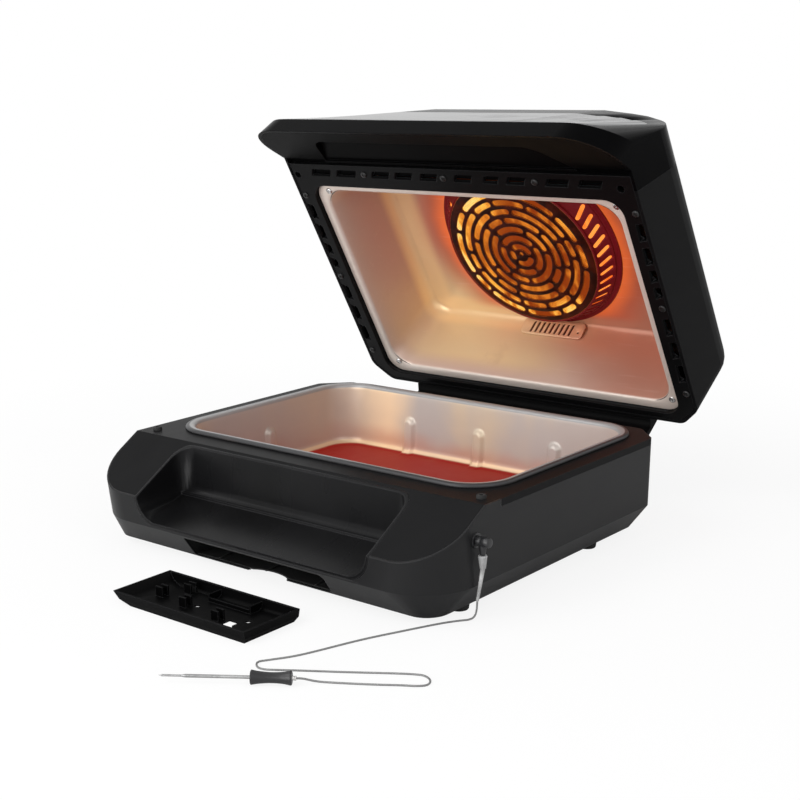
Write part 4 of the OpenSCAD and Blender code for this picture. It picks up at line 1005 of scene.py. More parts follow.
def screw_source(size=3.4, shank=5.0):
    """Pan-head screw with a crowned head and a cross recess, its head towards -Z."""
    bm = bmesh.new()
    segments = 32
    rings = [circle(size * share, z, segments) for share, z in (
        (0.45, shank), (0.45, 0.02), (1.0, 0.0), (0.99, -0.5), (0.9, -1.05), (0.72, -1.35))]
    wide, slim = size * 0.52, size * 0.13
    for depth, share in ((-1.46, 1.0), (-0.55, 0.72)):
        ring = []
        for i in range(segments):
            a = 2 * math.pi * i / segments
            near = min(abs(math.cos(a)), abs(math.sin(a)))
            reach = wide * share if near < 0.26 else slim * 1.9 * share
            ring.append(Vector((reach * math.cos(a), reach * math.sin(a), depth)))
        rings.append(ring)
    loft(bm, rings, cap_first=True, cap_last=True)
    bm.transform(Matrix.Scale(MM, 4))
    return as_source("Screw", bm)


# Operators, one for each piece or group of like pieces

class GRILL_OT_camera(bpy.types.Operator):
    """Sets the camera where the photograph was taken"""
    bl_idname = "grill.camera"
    bl_label = "Camera"

    def execute(self, context):
        turn, lift, roll = (math.radians(v) for v in CAMERA_TURNS)
        back = Vector((math.sin(turn) * math.cos(lift), -math.cos(turn) * math.cos(lift),
                       math.sin(lift)))
        right = (-back).cross(Vector((0, 0, 1))).normalized()
        up = right.cross(-back)
        x_axis = right * math.cos(roll) + up * math.sin(roll)
        y_axis = up * math.cos(roll) - right * math.sin(roll)
        data = bpy.data.cameras.new("Camera")
        data.sensor_width = SENSOR
        data.lens = FOCAL_PIXELS / PHOTO_PIXELS * SENSOR
        data.clip_start = 0.05
        data.clip_end = 50.0
        camera = bpy.data.objects.new("Camera", data)
        camera.matrix_world = (Matrix.Translation(CAMERA_PLACE)
                               @ Matrix((x_axis, y_axis, back)).transposed().to_4x4())
        context.scene.collection.objects.link(camera)
        context.scene.camera = camera
        return {"FINISHED"}


class GRILL_OT_probe_cord(bpy.types.Operator):
    """Makes the food probe: its plug, ribbed sleeve, boot, cable, handle and needle"""
    bl_idname = "grill.probe_cord"
    bl_label = "Food probe and cable"

    def execute(self, context):
        black = plug_moulding()
        pale = finish_of("pale_sleeve", rubber((0.36, 0.36, 0.36), 0.55))
        bright = bright_steel()
        route = through(CABLE_POINTS)
        bm = bmesh.new()
        sweep(bm, route, CABLE_RADIUS, 12)
        cable = finished("probe_cable_braided", bm, BENCH, finish_of("cable_sheath", cable_sheath),
                         "base", ["probe_cable"], angle=60)

        side = Matrix.Translation((HALF_W, PROBE_Y, PROBE_Z)) @ Matrix.Rotation(math.pi / 2, 4, "Y")
        bm = bmesh.new()
        lathe(bm, [(0, 0), (3.6, 0), (4, 0.4), (4, 3.5), (3.75, 4), (3.75, 5), (4, 5.5), (4, 11),
                   (3.5, 11.9), (2.4, 12.25), (0, 12.3)], 40, side)
        lathe(bm, [(0, -8), (1.2, -7.6), (1.7, -6.8), (1.7, 1), (0, 1)], 24, side)
        neck = Matrix.Translation((HALF_W + 5, PROBE_Y, 0))
        lathe(bm, [(0, 54.5), (1.95, 54.5), (2.3, 56.5), (3.1, 60.5), (3.6, 65.3), (0, 65.3)],
              32, neck)
        plug = finished("jack_plug_moulded", bm, BENCH, black, "base", ["jack_plug"])

        bm = bmesh.new()
        profile = [(0, 43.5), (1.9, 43.5)]
        for i in range(9):
            z = 0.8 + 1.15 * i
            swell = 2.1 + 0.12 * z
            profile += [(swell - 0.25, 43.5 + z - 0.45), (swell + 0.28, 43.5 + z - 0.15),
                        (swell + 0.28, 43.5 + z + 0.25)]
        profile += [(3.1, 54.2), (3.2, 54.48), (0, 54.48)]
        lathe(bm, profile, 28, neck)
        sleeve = finished("plug_sleeve_ribbed", bm, BENCH, pale, "base",
                          ["plug_sleeve"], angle=50)

        bm = bmesh.new()
        rings = []
        for i in range(13):
            t = i / 12
            r = 1.85 - 0.65 * t ** 0.8
            rings.append([Vector((HALF_W + 5 - 5.3 * t + r * math.cos(math.pi * k / 10),
                                  PROBE_Y + r * math.sin(math.pi * k / 10), 43.48 - 26.97 * t))
                          for k in range(20)])
        loft(bm, rings, cap_first=True, cap_last=True)
        boot = finished("cable_boot_tapered", bm, BENCH, pale, "base",
                        ["cable_boot"], angle=60)

        bm = bmesh.new()
        lathe(bm, [(0, -3.2), (1.2, -3.2), (1.6, -2.9), (1.6, -1.8), (1.4, -1.5), (1.6, -1.2),
                   (1.6, -0.02), (0, -0.02)], 28)
        ferrule = finished("probe_ferrule_turned", bm, probe_place(), bright, "base",
                           ["probe_ferrule"])
        bm = bmesh.new()
        profile = [(0, 0), (4.3, 0), (4.9, 0.2), (5.2, 0.6), (5.05, 1.6), (4.7, 3), (4.35, 5),
                   (4.1, 7), (3.9, 10), (3.8, 13), (3.82, 16), (3.95, 18.5), (4.25, 22),
                   (4.6, 25), (5.05, 27.6), (5.28, 28.4), (5.2, 28.85), (4.9, 29), (0, 29)]
        lathe(bm, profile, 44)
        handle = finished("probe_handle_waisted", bm, probe_place(), black, "base",
                          ["probe_handle"])
        repaint("probe_needle",
                finish_of("needle_steel", plain_metal((0.30, 0.30, 0.30), 0.34, metallic=0.75)))
        tuple(route[0] * MM)
        length_of(route) * MM
        [tuple(p * MM) for p in route]
        return {"FINISHED"}


class GRILL_OT_base_shell(bpy.types.Operator):
    """Dresses the base: side walls, deck, scoop, bottom plate and tray bay"""
    bl_idname = "grill.base_shell"
    bl_label = "Base shell and deck"

    def execute(self, context):
        c = colours()
        body = finish_of("body_moulding", moulding(c.body, 0.42, 0.19, edge_highlight=2.5))
        deck = finish_of("deck_moulding", moulding(c.deck, 0.38, 0.03, edge_highlight=3.0))
        inner = finish_of("inner_moulding", moulding((0.012, 0.012, 0.012), 0.6, 0.3))
        dressed("base_shell", "base_shell_moulded", body)
        dressed("top_cover", "top_cover_moulded", deck)
        dressed("scoop_liner", "scoop_liner_moulded", finish_of("scoop_gloss", scoop_gloss))
        dressed("bottom_plate", "bottom_plate_moulded", inner)
        dressed("tray_bay", "tray_bay_moulded", inner)
        dressed("mains_gland", "mains_gland_moulded", black_rubber())
        dressed("probe_socket", "probe_socket_moulded", plug_moulding())
        return {"FINISHED"}


class GRILL_OT_feet(bpy.types.Operator):
    """Makes the rubber feet, the deck bumpers and the screws of the bottom plate"""
    bl_idname = "grill.feet"
    bl_label = "Feet, bumpers and base screws"

    def execute(self, context):
        soft = black_rubber()
        bright = bright_steel()
        tree = scatter_tree()
        bm = bmesh.new()
        lathe(bm, [(0, 0), (6.6, 0), (7.6, 0.25), (8.05, 0.9), (8.9, 6.1), (8.8, 6.48), (3, 6.5),
                   (3, 9.4), (0, 9.5)], 40, Matrix.Scale(MM, 4))
        foot = as_source("Foot", bm)
        mesh = tree_mesh(tree, points_mesh([(x * MM, y * MM, 0) for x, y in FEET]),
                         {"Piece": foot, "Tilt": (0.0, 0.0, 0.0), "Size": 1.0,
                          "Turn step": 0.0, "Finish": soft})
        placed("rubber_feet_moulded", mesh, soft, "base", ["rubber_feet"], 0)

        bm = bmesh.new()
        lathe(bm, [(0, 0), (4.2, 0), (4.1, 1.6), (3.75, 2.7), (3.2, 3.0), (2.2, 3.0), (1.75, 2.8),
                   (1.7, 1.6), (0, 1.6)], 36, Matrix.Scale(MM, 4))
        bumper = as_source("Bumper", bm)
        spots = [(s * 187 * MM, -93.5 * MM, DECK_Z * MM) for s in (-1, 1)]
        mesh = tree_mesh(tree, points_mesh(spots), {
            "Piece": bumper, "Tilt": (0.0, 0.0, 0.0), "Size": 1.0, "Turn step": 0.0,
            "Finish": soft})
        placed("deck_bumpers_moulded", mesh, soft, "base", ["deck_bumpers"], 0)

        screw = screw_source(3.2, 8.8)
        spots = [(x * MM, y * MM, 6.5 * MM) for x, y in PLATE_SCREWS]
        mesh = tree_mesh(tree, points_mesh(spots), {
            "Piece": screw, "Tilt": (0.0, 0.0, 0.0), "Size": 0.94, "Turn step": 0.9,
            "Finish": bright})
        placed("bottom_screws_cross", mesh, bright, "base", ["bottom_screws"], 0)
        return {"FINISHED"}


class GRILL_OT_pan(bpy.types.Operator):
    """Makes the cooking pan: rolled rim, ribbed walls and rounded floor, in one sheet"""
    bl_idname = "grill.pan"
    bl_label = "Cooking pan"

    def execute(self, context):
        s = sizes()
        floor_r, rib_r, rib_h = (v / MM for v in (s.floor_radius, s.rib_radius, s.rib_height))
        xs = sorted({round(x + u, 3) for x in RIB_XS for u in
                     [i * 1.1 for i in range(-11, 12)]} | {-112.0, -40.0, 46.0, 118.0})
        ys = sorted({round(i * 1.1, 3) for i in range(-11, 12)} | {-60.0, -36.0, 36.0, 60.0})

        def wall_inset(h):
            return 1.5 + 3.5 * max(0.0, 55.0 - (h - 5.0)) / 55.0

        def row(inset, z, ribs=True):
            hw, hd = PAN_W / 2 - RIM_W - inset, PAN_D / 2 - RIM_W - inset
            radius = PAN_R - RIM_W - min(inset, 24)
            h = z - (DECK_Z - PAN_H)
            points = []
            for p, wall, at in rounded_ring(hw, hd, max(radius, 6), PAN_MID_Y, z, xs, ys):
                if ribs and wall:
                    for centre in (RIB_XS if wall in "NS" else (0.0,)):
                        q = math.hypot(at - centre, max(0.0, h - (rib_h - rib_r)))
                        t = min(1.0, max(0.0, (rib_r - q) / 4.6))
                        soft = 4.2 * t * t * (3 - 2 * t)
                        if wall == "N":
                            p.y -= soft
                        elif wall == "S":
                            p.y += soft
                        elif wall == "E":
                            p.x -= soft
                        else:
                            p.x += soft
                points.append(p)
            return points

        top = DECK_Z
        rows = [row(-7.0, top + 0.1, False), row(-7.7, top + 0.35, False),
                row(-8.0, top + 1.0, False), row(-7.9, top + 1.8, False),
                row(-7.3, top + 2.7, False), row(-6.2, top + 3.25, False),
                row(-4.6, top + 3.4, False), row(-2.6, top + 3.38, False),
                row(-1.0, top + 3.1, False), row(0.2, top + 2.5, False),
                row(1.0, top + 1.5, False), row(1.45, top + 0.2, False)]
        z = top - 3.0
        while z > top - PAN_H + floor_r + 1.0:
            rows.append(row(wall_inset(z - (top - PAN_H)), z))
            z -= 1.3 if 17 < top - z < 34 else 2.6
        low = top - PAN_H
        edge = wall_inset(floor_r)
        for i in range(8):
            a = math.pi / 2 * i / 7
            rows.append(row(edge + floor_r * (1 - math.cos(a)), low + floor_r * (1 - math.sin(a))))
        rows += [row(edge + floor_r + 2.5, low + 0.05), row(edge + floor_r + 3.6, low - 0.0),
                 row(edge + 24, low + 0.35, False), row(edge + 60, low + 0.6, False),
                 row(edge + 96, low + 0.7, False)]
        bm = bmesh.new()
        outer = [row(edge + 96, low - 0.8, False), row(edge + floor_r + 3.6, low - 1.45, False),
                 row(edge + floor_r * 0.9, low - 1.4, False),
                 row(edge + floor_r * 0.35 - 1.0, low + 0.4, False),
                 row(edge - 1.4, low + 5, False),
                 row(1.6, low + 30, False), row(0.1, top - 3, False), row(0.0, top + 0.05, False)]
        loft(bm, outer + rows, cap_first=True, cap_last=True)
        bmesh.ops.remove_doubles(bm, verts=bm.verts, dist=0.0005)
        finished("cooking_pan_pressed", bm, BENCH, finish_of("pan_steel", pan_steel), "base",
                 ["cooking_pan"], angle=50)
        return {"FINISHED"}


class GRILL_OT_base_inside(bpy.types.Operator):
    """Dresses what the base hides: well, lower heater, clips, thermostat and power board"""
    bl_idname = "grill.base_inside"
    bl_label = "Inside of the base"

    def execute(self, context):
        sheet = plain_sheet()
        brass = plain_brass()
        repaint("pan_well", sheet)
        repaint("lower_heater", finish_of("scaled_tube", scaled_tube))
        repaint("heater_clips", sheet)
        repaint("pan_thermostat", brass)
        repaint("power_board", finish_of("circuit_board", circuit_board))
        return {"FINISHED"}


class GRILL_OT_hinges(bpy.types.Operator):
    """Dresses the two hinge brackets with their pins and washers"""
    bl_idname = "grill.hinges"
    bl_label = "Hinges"

    def execute(self, context):
        black = finish_of("bracket_paint", moulding((0.02, 0.02, 0.021), 0.42, 0.5, 0.6))
        bright = bright_steel()
        brass = plain_brass()
        for side in ("left", "right"):
            dressed("hinge_bracket_" + side, "hinge_bracket_%s_painted" % side, black)
            dressed("hinge_pin_" + side, "hinge_pin_%s_turned" % side, bright)
        dressed("hinge_washers", "hinge_washers_turned", brass)
        return {"FINISHED"}


class GRILL_OT_tray(bpy.types.Operator):
    """Dresses the storage tray that lies in front of the base"""
    bl_idname = "grill.tray"
    bl_label = "Storage tray"

    def execute(self, context):
        finish = finish_of("tray_moulding",
                           moulding((0.0018, 0.0018, 0.0019), 0.38, 0.03, edge_highlight=14.0))
        hole = bmesh.new()
        block(hole, *TRAY_HOLE)
        hole.transform(BENCH)
        dressed("storage_tray", "storage_tray_moulded", finish, cutter=hole)
        return {"FINISHED"}


class GRILL_OT_lid_shell(bpy.types.Operator):
    """Dresses the lid's cover, glossy front, touch panel, neck and control board"""
    bl_idname = "grill.lid_shell"
    bl_label = "Lid shell"

    def execute(self, context):
        c = colours()
        body = finish_of("lid_moulding", moulding(c.lid, 0.5, 0.035, edge_highlight=3.5))
        gloss = finish_of("gloss_black", gloss_moulding(c.gloss, 0.22, 0.012))
        dressed("lid_cover", "lid_cover_moulded", body, angle=26)
        dressed("lid_front_cap", "lid_front_cap_polished", gloss, angle=26)
        dressed("control_panel", "control_panel_glass", finish_of("panel_glass", panel_glass), 26)
        dressed("lid_neck", "lid_neck_moulded",
                finish_of("neck_moulding", moulding((0.0016, 0.0016, 0.0017), 0.5, 0.04)))
        repaint("control_board", finish_of("circuit_board", circuit_board))
        return {"FINISHED"}


def slot_mouths():
    """Wide sloping mouths of the frame's slots, to be cut out of it."""
    bm = bmesh.new()
    rows = [(Matrix.Translation((0, -103.5, 0)), FRONT_SLOTS)]
    for side in (-1, 1):
        turn = Matrix.Translation((side * 192, -106.5, 0)) @ Matrix.Rotation(math.pi / 2, 4, "Z")
        rows.append((turn @ Matrix.Scale(-side, 4, (0, 1, 0)), SIDE_SLOTS))
    for turn, slots in rows:
        for x0, x1 in slots:
            rings = []
            for grow, rise, z in ((2.0, 4.5, FRAME_Z - 0.6), (1.2, 3.9, FRAME_Z + 0.6),
                                  (0.2, 3.1, FRAME_Z + 2.6)):
                rings.append([turn @ Vector(p) for p in (
                    (x0 - grow, rise, z), (x1 - 4 + grow, rise, z), (x1 + grow, -rise, z),
                    (x0 + 4 - grow, -rise, z))])
            loft(bm, rings, cap_first=True, cap_last=True)
    bm.transform(lid_place())
    return bm


class GRILL_OT_lid_frame(bpy.types.Operator):
    """Dresses the slotted frame and the grip and sets their screws"""
    bl_idname = "grill.lid_frame"
    bl_label = "Lid frame, grip and screws"

    def execute(self, context):
        dark = finish_of("frame_moulding", moulding((0.0035, 0.0035, 0.0037), 0.36, 0.07, edge_highlight=8.0))
        grip = finish_of("grip_moulding", moulding((0.0016, 0.0016, 0.0017), 0.38, 0.012, edge_highlight=7.0))
        black = finish_of("blackened_steel", plain_metal((0.03, 0.03, 0.03), 0.32, 0.7))
        bright = bright_steel()
        dressed("lid_frame", "lid_frame_moulded", dark, cutter=slot_mouths())
        dressed("lid_grip", "lid_grip_moulded", grip)
        tree = scatter_tree()
        screw = screw_source(3.4, 5.0)
        turn = lid_place()
        for name, node, spots, z, finish, slot in (
                ("frame_screws_cross", "frame_screws", FRAME_SCREWS, FRAME_Z, black, "screw_black"),
                ("liner_screws_cross", "liner_screws", LINER_SCREWS, 0.2, bright, "bright_steel")):
            places = [turn @ Vector((x, y, z)) for x, y in spots]
            mesh = tree_mesh(tree, points_mesh(places), {
                "Piece": screw, "Tilt": (-OPEN_ANGLE, 0.0, 0.0), "Size": 1.0, "Turn step": 0.7,
                "Finish": finish})
            placed(name, mesh, finish, "lid", [node], 0)
        return {"FINISHED"}


class GRILL_OT_lid_liner(bpy.types.Operator):
    """Makes the pressed liner of the lid's cavity and its vent comb"""
    bl_idname = "grill.lid_liner"
    bl_label = "Lid liner"

    def execute(self, context):
        steel = finish_of("liner_steel", liner_steel)
        xs = [-130.0 + 10 * i for i in range(27)]
        ys = [-70.0 + 10 * i for i in range(15)]

        def row(hw, hd, r, z, shift=0.0):
            ring = rounded_ring(hw, hd, r, LINER_MID_Y + shift, z, xs, ys, 12)
            return [entry[0] for entry in ring]

        flange = (LINER_W / 2, LINER_D / 2)
        rows = [row(flange[0] - 0.1, flange[1] - 0.1, 17.4, 0.9),
                row(flange[0], flange[1], 17.5, 0.35),
                row(flange[0] - 0.7, flange[1] - 0.7, 17.2, 0.2),
                row(174.5, 117.0, 22.5, 0.2), row(172.2, 114.9, 22.6, 0.32),
                row(170.6, 113.4, 22.4, 1.0), row(169.7, 112.6, 22.2, 2.3),
                row(169.1, 112.0, 22.0, 4.5)]
        for i in range(1, 9):
            z = 4.5 + 55.0 * i / 8
            t = (z + 1) / 75.0
            rows.append(row(169 - 7.5 * t, 112 - 11.5 * t, 22.0, z, -2.0 * t))
        fillet = 13.0
        for i in range(1, 9):
            a = math.pi / 2 * i / 8
            drop = fillet * (1 - math.cos(a))
            z = LINER_H - fillet * 1.45 + fillet * 1.45 * math.sin(a)
            t = min(1.0, (LINER_H - fillet * 1.45 + 1) / 75.0)
            rows.append(row(169 - 7.5 * t - drop * 0.62, 112 - 11.5 * t - drop * 0.62,
                            22.0 - drop * 0.4, min(z, LINER_H - 0.05), -2.0))
        rows.append(row(146, 86, 14, LINER_H - 0.02, -2.0))
        turns = [math.atan2(p.y - GUARD_Y, p.x) for p in rows[-1]]
        for radius in GUARD_HOLE:
            rows.append([Vector((radius * math.cos(a), GUARD_Y + radius * math.sin(a), LINER_H))
                         for a in turns])
        bm = bmesh.new()
        loft(bm, rows)
        bmesh.ops.recalc_face_normals(bm, faces=bm.faces)
        thicken(bm, LINER_SHEET)
        finished("lid_liner_pressed", bm, lid_place(), steel, "lid",
                 ["lid_liner"], angle=45, even=False)
        place = (lid_place() @ Matrix.Translation(COMB_MIDDLE)
                 @ Matrix.Rotation(COMB_LEAN, 4, "X"))
        outlines = [pill(0, 0, 37, 9.2, corner=4.5), pill(31.5, 2.5, 1.5, 1.5)]
        for k in range(9):
            outlines.append(pill(-24.5 + 5.9 * k, 0.4, 1.75, 7.2, lean=-0.12))
        bm = cut_sheet(outlines, 1.8, 0.5)
        finished("vent_comb_pressed", bm, place @ Matrix.Translation((0, 0, -0.9)), steel, "lid",
                 ["vent_comb"], angle=40)
        # Painted shade: a dark red sheet behind the comb's slots stands for the shade inside them.
        bm = bmesh.new()
        block(bm, (-29, -8.4, -0.5), (27, 8.6, -0.15), 0.1)
        finished("vent_comb_backing", bm, place, finish_of(
            "comb_shadow", moulding((0.045, 0.002, 0.004), 0.7, 0.05)), "lid")
        return {"FINISHED"}


def thicken(bm, thick):
    """Gives an open sheet its other side, thick away from the cavity, and closes its edges."""
    inward = sum(1 if f.normal.dot(Vector((0, LINER_MID_Y, 20)) - f.calc_center_median()) > 0
                 else -1 for f in bm.faces)
    if inward < 0:
        bmesh.ops.reverse_faces(bm, faces=bm.faces)
    bm.normal_update()
    shifted = {v: v.co - v.normal * thick for v in bm.verts}
    faces = list(bm.faces)
    rim = [e for e in bm.edges if e.is_boundary]
    twin = {v: bm.verts.new(co) for v, co in shifted.items()}
    for f in faces:
        bm.faces.new([twin[v] for v in reversed(f.verts)])
    for e in rim:
        a, b = e.verts
        loop = e.link_loops[0]
        if loop.vert is a:
            bm.faces.new((b, a, twin[a], twin[b]))
        else:
            bm.faces.new((a, b, twin[b], twin[a]))


def drum_ring_loft(profile, segments=96):
    """Turns (radius, z) points round the guard's axis, its face end set over by FACE_SHIFT."""
    rings = []
    for r, z in profile:
        level = GUARD_Z + z
        t = (min(level, 61.0) + 1) / 75.0
        rise = math.asin(min(1.0, max(0.0, (level - 61.15) / 18.85)))
        front = LINER_MID_Y - 112 + 9.5 * t + 8.1 * (1 - math.cos(rise)) + 0.4 - GUARD_Y
        rear = LINER_MID_Y + 100.1 - 8.1 * (1 - math.cos(rise)) - GUARD_Y
        inset = 0.2 * max(0.0, 96.7 - r)
        shift = FACE_SHIFT * max(0.0, 1 - z / 17)
        rings.append([Vector((p.x + shift.x, min(max(p.y + shift.y, front + inset), rear - inset),
                              z)) for p in circle(r, z, segments)])
    bm = bmesh.new()
    loft(bm, rings, cap_first=profile[0] != profile[-1], cap_last=profile[0] != profile[-1])
    bmesh.ops.remove_doubles(bm, verts=bm.verts, dist=0.002)
    bmesh.ops.recalc_face_normals(bm, faces=bm.faces)
    return bm


class GRILL_OT_fan_guard(bpy.types.Operator):
    """Dresses the guard and its slotted drum and makes the gauze behind it, glowing with painted
    heater light
    """
    bl_idname = "grill.fan_guard"
    bl_label = "Fan guard"

    def execute(self, context):
        coating = finish_of("guard_coating", guard_coating)
        place = lid_place() @ Matrix.Translation((0, GUARD_Y, GUARD_Z))
        face = place @ Matrix.Translation(FACE_SHIFT)
        outlines = [[(p.x, p.y) for p in circle(GUARD_RADIUS, 0.0, 144)],
                    pill(-1, 1, 2.3, 2.3)]
        for i, count in enumerate(GUARD_SLOTS):
            radius = 10.6 + 10.5 * i
            gap = 3.0 / radius
            ends = [2 * math.pi * (k + 0.22 * math.sin(2.4 * k + i)) / count + 0.65 * i
                    for k in range(count)]
            for k in range(count):
                last = ends[k + 1] if k + 1 < count else ends[0] + 2 * math.pi
                slot = arc_slot(radius, 3.35, ends[k] + gap / 2, last - gap / 2)
                outlines.append([(x - 1.5, y + 3.0) for x, y in slot])
        bm = cut_sheet(outlines, 1.2, 0.2)
        finished("fan_guard_slotted", bm, face @ Matrix.Translation((0, 0, 0.6)), coating, "lid",
                 ["fan_guard"], angle=35)
        drum = drum_ring_loft([
            (84.7, 0.0), (85.8, -0.35), (86.7, 0.1), (86.9, 1.4), (86.5, 2.2), (86.9, 3.0),
            (95.6, 13.6), (96.9, 14.0), (97.4, 14.8), (97.8, 15.9), (102.4, 16.5), (102.9, 17.6),
            (96.6, 17.6),
            (94.6, 14.6), (85.2, 2.6), (84.6, 1.4), (84.7, 0.0)])
        mesh = bpy.data.meshes.new("Drum")
        drum.to_mesh(mesh)
        drum.free()
        cutter = bmesh.new()
        for i in range(48):
            turn = (Matrix.Rotation(math.radians(7.5 * i), 4, "Z")
                    @ Matrix.Translation((91.5, 0, 8.4))
                    @ Matrix.Rotation(math.radians(35), 4, "X"))
            if turn.to_translation().y < -52:
                continue
            loft(cutter, [[turn @ Vector((x, u, v)) for u, v in pill(0, 0, 2.25, 6.6)]
                          for x in (-9, 9)], cap_first=True, cap_last=True)
        bm = bmesh.new()
        bm.from_mesh(carved(mesh, cutter))
        finished("guard_drum_slotted", bm, place, coating, "lid", ["guard_drum"],
                 angle=35)
        bm = drum_ring_loft([
            (0.01, 1.5), (30, 1.5), (60, 1.5), (83.6, 1.5), (84.4, 2.5), (93.4, 14.4),
            (93.0, 14.6), (84.0, 2.8), (83.0, 1.8), (60, 1.8), (30, 1.8), (0.01, 1.8)])
        finished("guard_gauze", bm, place, finish_of("glowing_gauze", glowing_gauze), "lid")
        return {"FINISHED"}


class GRILL_OT_heater(bpy.types.Operator):
    """Makes the glowing heater rings and dresses the sheet parts behind them"""
    bl_idname = "grill.heater"
    bl_label = "Upper heater"

    def execute(self, context):
        glow = finish_of("glowing_tube", glowing_tube)
        sheet = plain_sheet()
        bm = bmesh.new()
        for radius, z in ((76.0, 70.0), (84.0, 74.0)):
            rings = []
            for i in range(96):
                a = 2 * math.pi * i / 96
                out = Vector((math.cos(a), math.sin(a), 0))
                rings.append([out * (radius + 2.6 * math.cos(math.pi * k / 6))
                              + Vector((0, 0, z + 2.6 * math.sin(math.pi * k / 6)))
                              for k in range(12)])
            loft(bm, rings + [rings[0]])
        bmesh.ops.remove_doubles(bm, verts=bm.verts, dist=0.0005)
        sweep(bm, [(0, 76, 70), (0, 80, 72), (0, 83.6, 73.8)], 2.2, 12)
        finished("upper_heater_glowing", bm, lid_place() @ Matrix.Translation((0, GUARD_Y, 0)),
                 glow, "lid", ["upper_heater"], angle=60)
        for node in ("heat_shield", "motor_bracket"):
            repaint(node, sheet)
        repaint("fan_motor", finish_of("motor_metal", plain_metal((0.40, 0.40, 0.42), 0.35)))
        return {"FINISHED"}


class GRILL_OT_fans(bpy.types.Operator):
    """Makes the hot air wheel and the cooling wheel on the motor's shaft"""
    bl_idname = "grill.fans"
    bl_label = "Fans"

    def execute(self, context):
        s = sizes()
        sheet = plain_sheet()
        black = finish_of("fan_moulding", moulding((0.012, 0.012, 0.013), 0.5, 0.3))
        bright = bright_steel()
        tree = wheel_tree()
        for name, node, z, count, finish, slot, hub, blade in (
                ("fan_impeller_pressed", "fan_impeller", GUARD_Z + 6, s.impeller_blades, sheet,
                 "well_steel", [(0, 0), (8.6, 0), (9, 0.4), (9, 7.6), (66, 7.6), (66, 8.6),
                                (9, 8.7), (9, 9), (0, 9)], ((26, 0, 0), (64, 1.2, 8), 22)),
                ("cooling_fan_moulded", "cooling_fan", LINER_H + 23, s.cooling_blades, black,
                 "plug_black", [(0, 0), (7.6, 0), (8, 0.4), (8, 7.6), (7.6, 8), (0, 8)],
                 ((6, -0.7, 0), (44, 0.7, 7), 0))):
            bm = bmesh.new()
            low, high, lean = blade
            pivot = (Matrix.Translation((low[0], 0, 0))
                     @ Matrix.Rotation(math.radians(lean), 4, "Z")
                     @ Matrix.Translation((-low[0], 0, 0)))
            block(bm, low, high, 0.25)
            bm.transform(Matrix.Scale(MM, 4) @ pivot)
            source = as_source("Blade", bm)
            mesh = tree_mesh(tree, points_mesh([(0, 0, 0)]),
                             {"Blade": source, "Count": count, "Finish": finish})
            bm = bmesh.new()
            bm.from_mesh(mesh)
            lathe(bm, hub, 56, Matrix.Scale(MM, 4))
            place = lid_place() @ Matrix.Translation((0, GUARD_Y, z)) @ Matrix.Scale(1 / MM, 4)
            finished(name, bm, place, finish, "fan", [node], angle=35)
        repaint("fan_shaft", bright)
        return {"FINISHED"}


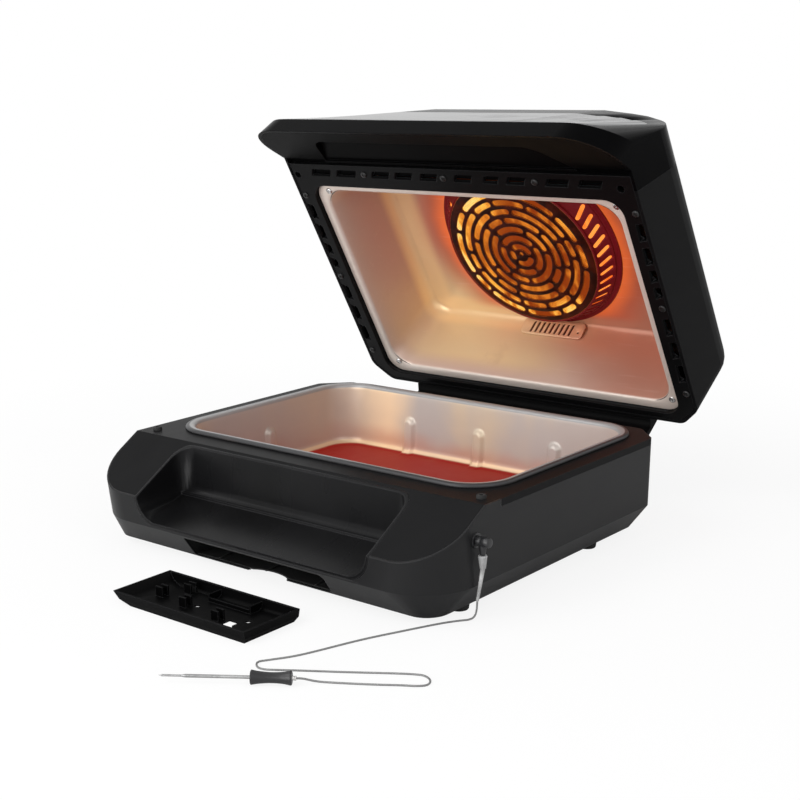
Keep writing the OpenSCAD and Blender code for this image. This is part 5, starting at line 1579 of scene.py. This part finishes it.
class GRILL_OT_stage(bpy.types.Operator):
    """Makes the white floor, the soft lamps and the world"""
    bl_idname = "grill.stage"
    bl_label = "Stage"

    def execute(self, context):
        scene = context.scene
        bm = bmesh.new()
        bmesh.ops.create_grid(bm, x_segments=1, y_segments=1, size=6.0)
        mesh = bpy.data.meshes.new("floor")
        bm.to_mesh(mesh)
        bm.free()
        f = Finish("floor_white")
        camera_ray = f.node("ShaderNodeLightPath", out="Is Camera Ray")
        paper = f.noise(3.0, 2.0, 0.5)
        diffuse = f.node("ShaderNodeBsdfDiffuse", values={
            "Color": f.mix((0.86, 0.86, 0.86), (0.90, 0.90, 0.90), paper)})
        lit = f.node("ShaderNodeEmission", values={"Color": (1, 1, 1), "Strength": 1.0})
        x, y = f.axes()[:2]
        far = (x * x + y * y).root().ramp(0.35, 0.9)
        blend = f.node("ShaderNodeMixShader", values={
            0: camera_ray * (far * 0.14 + 0.86), 1: diffuse, 2: lit})
        out = f.tree.nodes.new("ShaderNodeOutputMaterial")
        f.tree.links.new(blend.socket, out.inputs["Surface"])
        mesh.materials.append(f.material)
        floor = bpy.data.objects.new("floor", mesh)
        scene.collection.objects.link(floor)

        world = bpy.data.worlds.new("Studio")
        world.use_nodes = True
        scene.world = world
        tree = world.node_tree
        tree.nodes.clear()
        path = tree.nodes.new("ShaderNodeLightPath").outputs
        seen = tree_node(tree, "ShaderNodeMath", {"operation": "MAXIMUM"},
                         {0: path["Is Camera Ray"], 1: path["Is Glossy Ray"]})
        seen = tree_node(tree, "ShaderNodeMath", {"operation": "MAXIMUM"},
                         {0: seen.outputs[0], 1: path["Is Transmission Ray"]})
        soft, white = (tree_node(tree, "ShaderNodeBackground",
                                 links={"Color": (1, 1, 1, 1), "Strength": strength})
                       for strength in (0.55, 1.0))
        both = tree_node(tree, "ShaderNodeMixShader", links={
            0: seen.outputs[0], 1: soft.outputs[0], 2: white.outputs[0]})
        out = tree.nodes.new("ShaderNodeOutputWorld")
        tree.links.new(both.outputs[0], out.inputs["Surface"])

        for name, spot, size, power in (
                ("Key", (-0.9, -1.5, 2.0), 1.6, 24.0), ("Fill", (1.9, -0.7, 1.3), 1.4, 10.0),
                ("Back", (0.3, 2.0, 1.6), 1.6, 8.0), ("Front", (-0.1, -1.7, 0.45), 1.2, 20.0)):
            data = bpy.data.lights.new(name, "AREA")
            data.size = size
            data.energy = power
            lamp = bpy.data.objects.new(name, data)
            lamp.location = spot
            aim = Vector((0.0, 0.0, 0.12)) - Vector(spot)
            lamp.rotation_euler = aim.to_track_quat("-Z", "Y").to_euler()
            scene.collection.objects.link(lamp)
        scene.view_settings.view_transform = "Standard"
        return {"FINISHED"}


class GRILL_PT_panel(bpy.types.Panel):
    """Lists the grill's pieces in the sidebar"""
    bl_idname = "GRILL_PT_panel"
    bl_label = "Countertop grill"
    bl_space_type = "VIEW_3D"
    bl_region_type = "UI"
    bl_category = "Grill"

    def draw(self, context):
        layout = self.layout
        for group in (context.scene.grill_sizes, context.scene.grill_finishes):
            box = layout.box()
            for name in group.__annotations__:
                box.prop(group, name)
        for operator in OPERATORS:
            layout.operator(operator.bl_idname)


OPERATORS = (
    GRILL_OT_camera, GRILL_OT_probe_cord, GRILL_OT_base_shell, GRILL_OT_feet, GRILL_OT_pan,
    GRILL_OT_base_inside, GRILL_OT_hinges, GRILL_OT_tray, GRILL_OT_lid_shell,
    GRILL_OT_lid_frame, GRILL_OT_lid_liner, GRILL_OT_fan_guard, GRILL_OT_heater,
    GRILL_OT_fans, GRILL_OT_stage)
CLASSES = (GrillSizes, GrillFinishes) + OPERATORS + (GRILL_PT_panel,)


def register():
    for cls in CLASSES:
        bpy.utils.register_class(cls)
    bpy.types.Scene.grill_sizes = PointerProperty(type=GrillSizes)
    bpy.types.Scene.grill_finishes = PointerProperty(type=GrillFinishes)


def unregister():
    del bpy.types.Scene.grill_finishes
    del bpy.types.Scene.grill_sizes
    for cls in reversed(CLASSES):
        bpy.utils.unregister_class(cls)


def main():
    """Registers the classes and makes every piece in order."""
    register()
    bpy.ops.grill.camera()
    bpy.ops.grill.probe_cord()
    bpy.ops.grill.base_shell()
    bpy.ops.grill.feet()
    bpy.ops.grill.pan()
    bpy.ops.grill.base_inside()
    bpy.ops.grill.hinges()
    bpy.ops.grill.tray()
    bpy.ops.grill.lid_shell()
    bpy.ops.grill.lid_frame()
    bpy.ops.grill.lid_liner()
    bpy.ops.grill.fan_guard()
    bpy.ops.grill.heater()
    bpy.ops.grill.fans()
    bpy.ops.grill.stage()


if __name__ == "__main__":
    main()
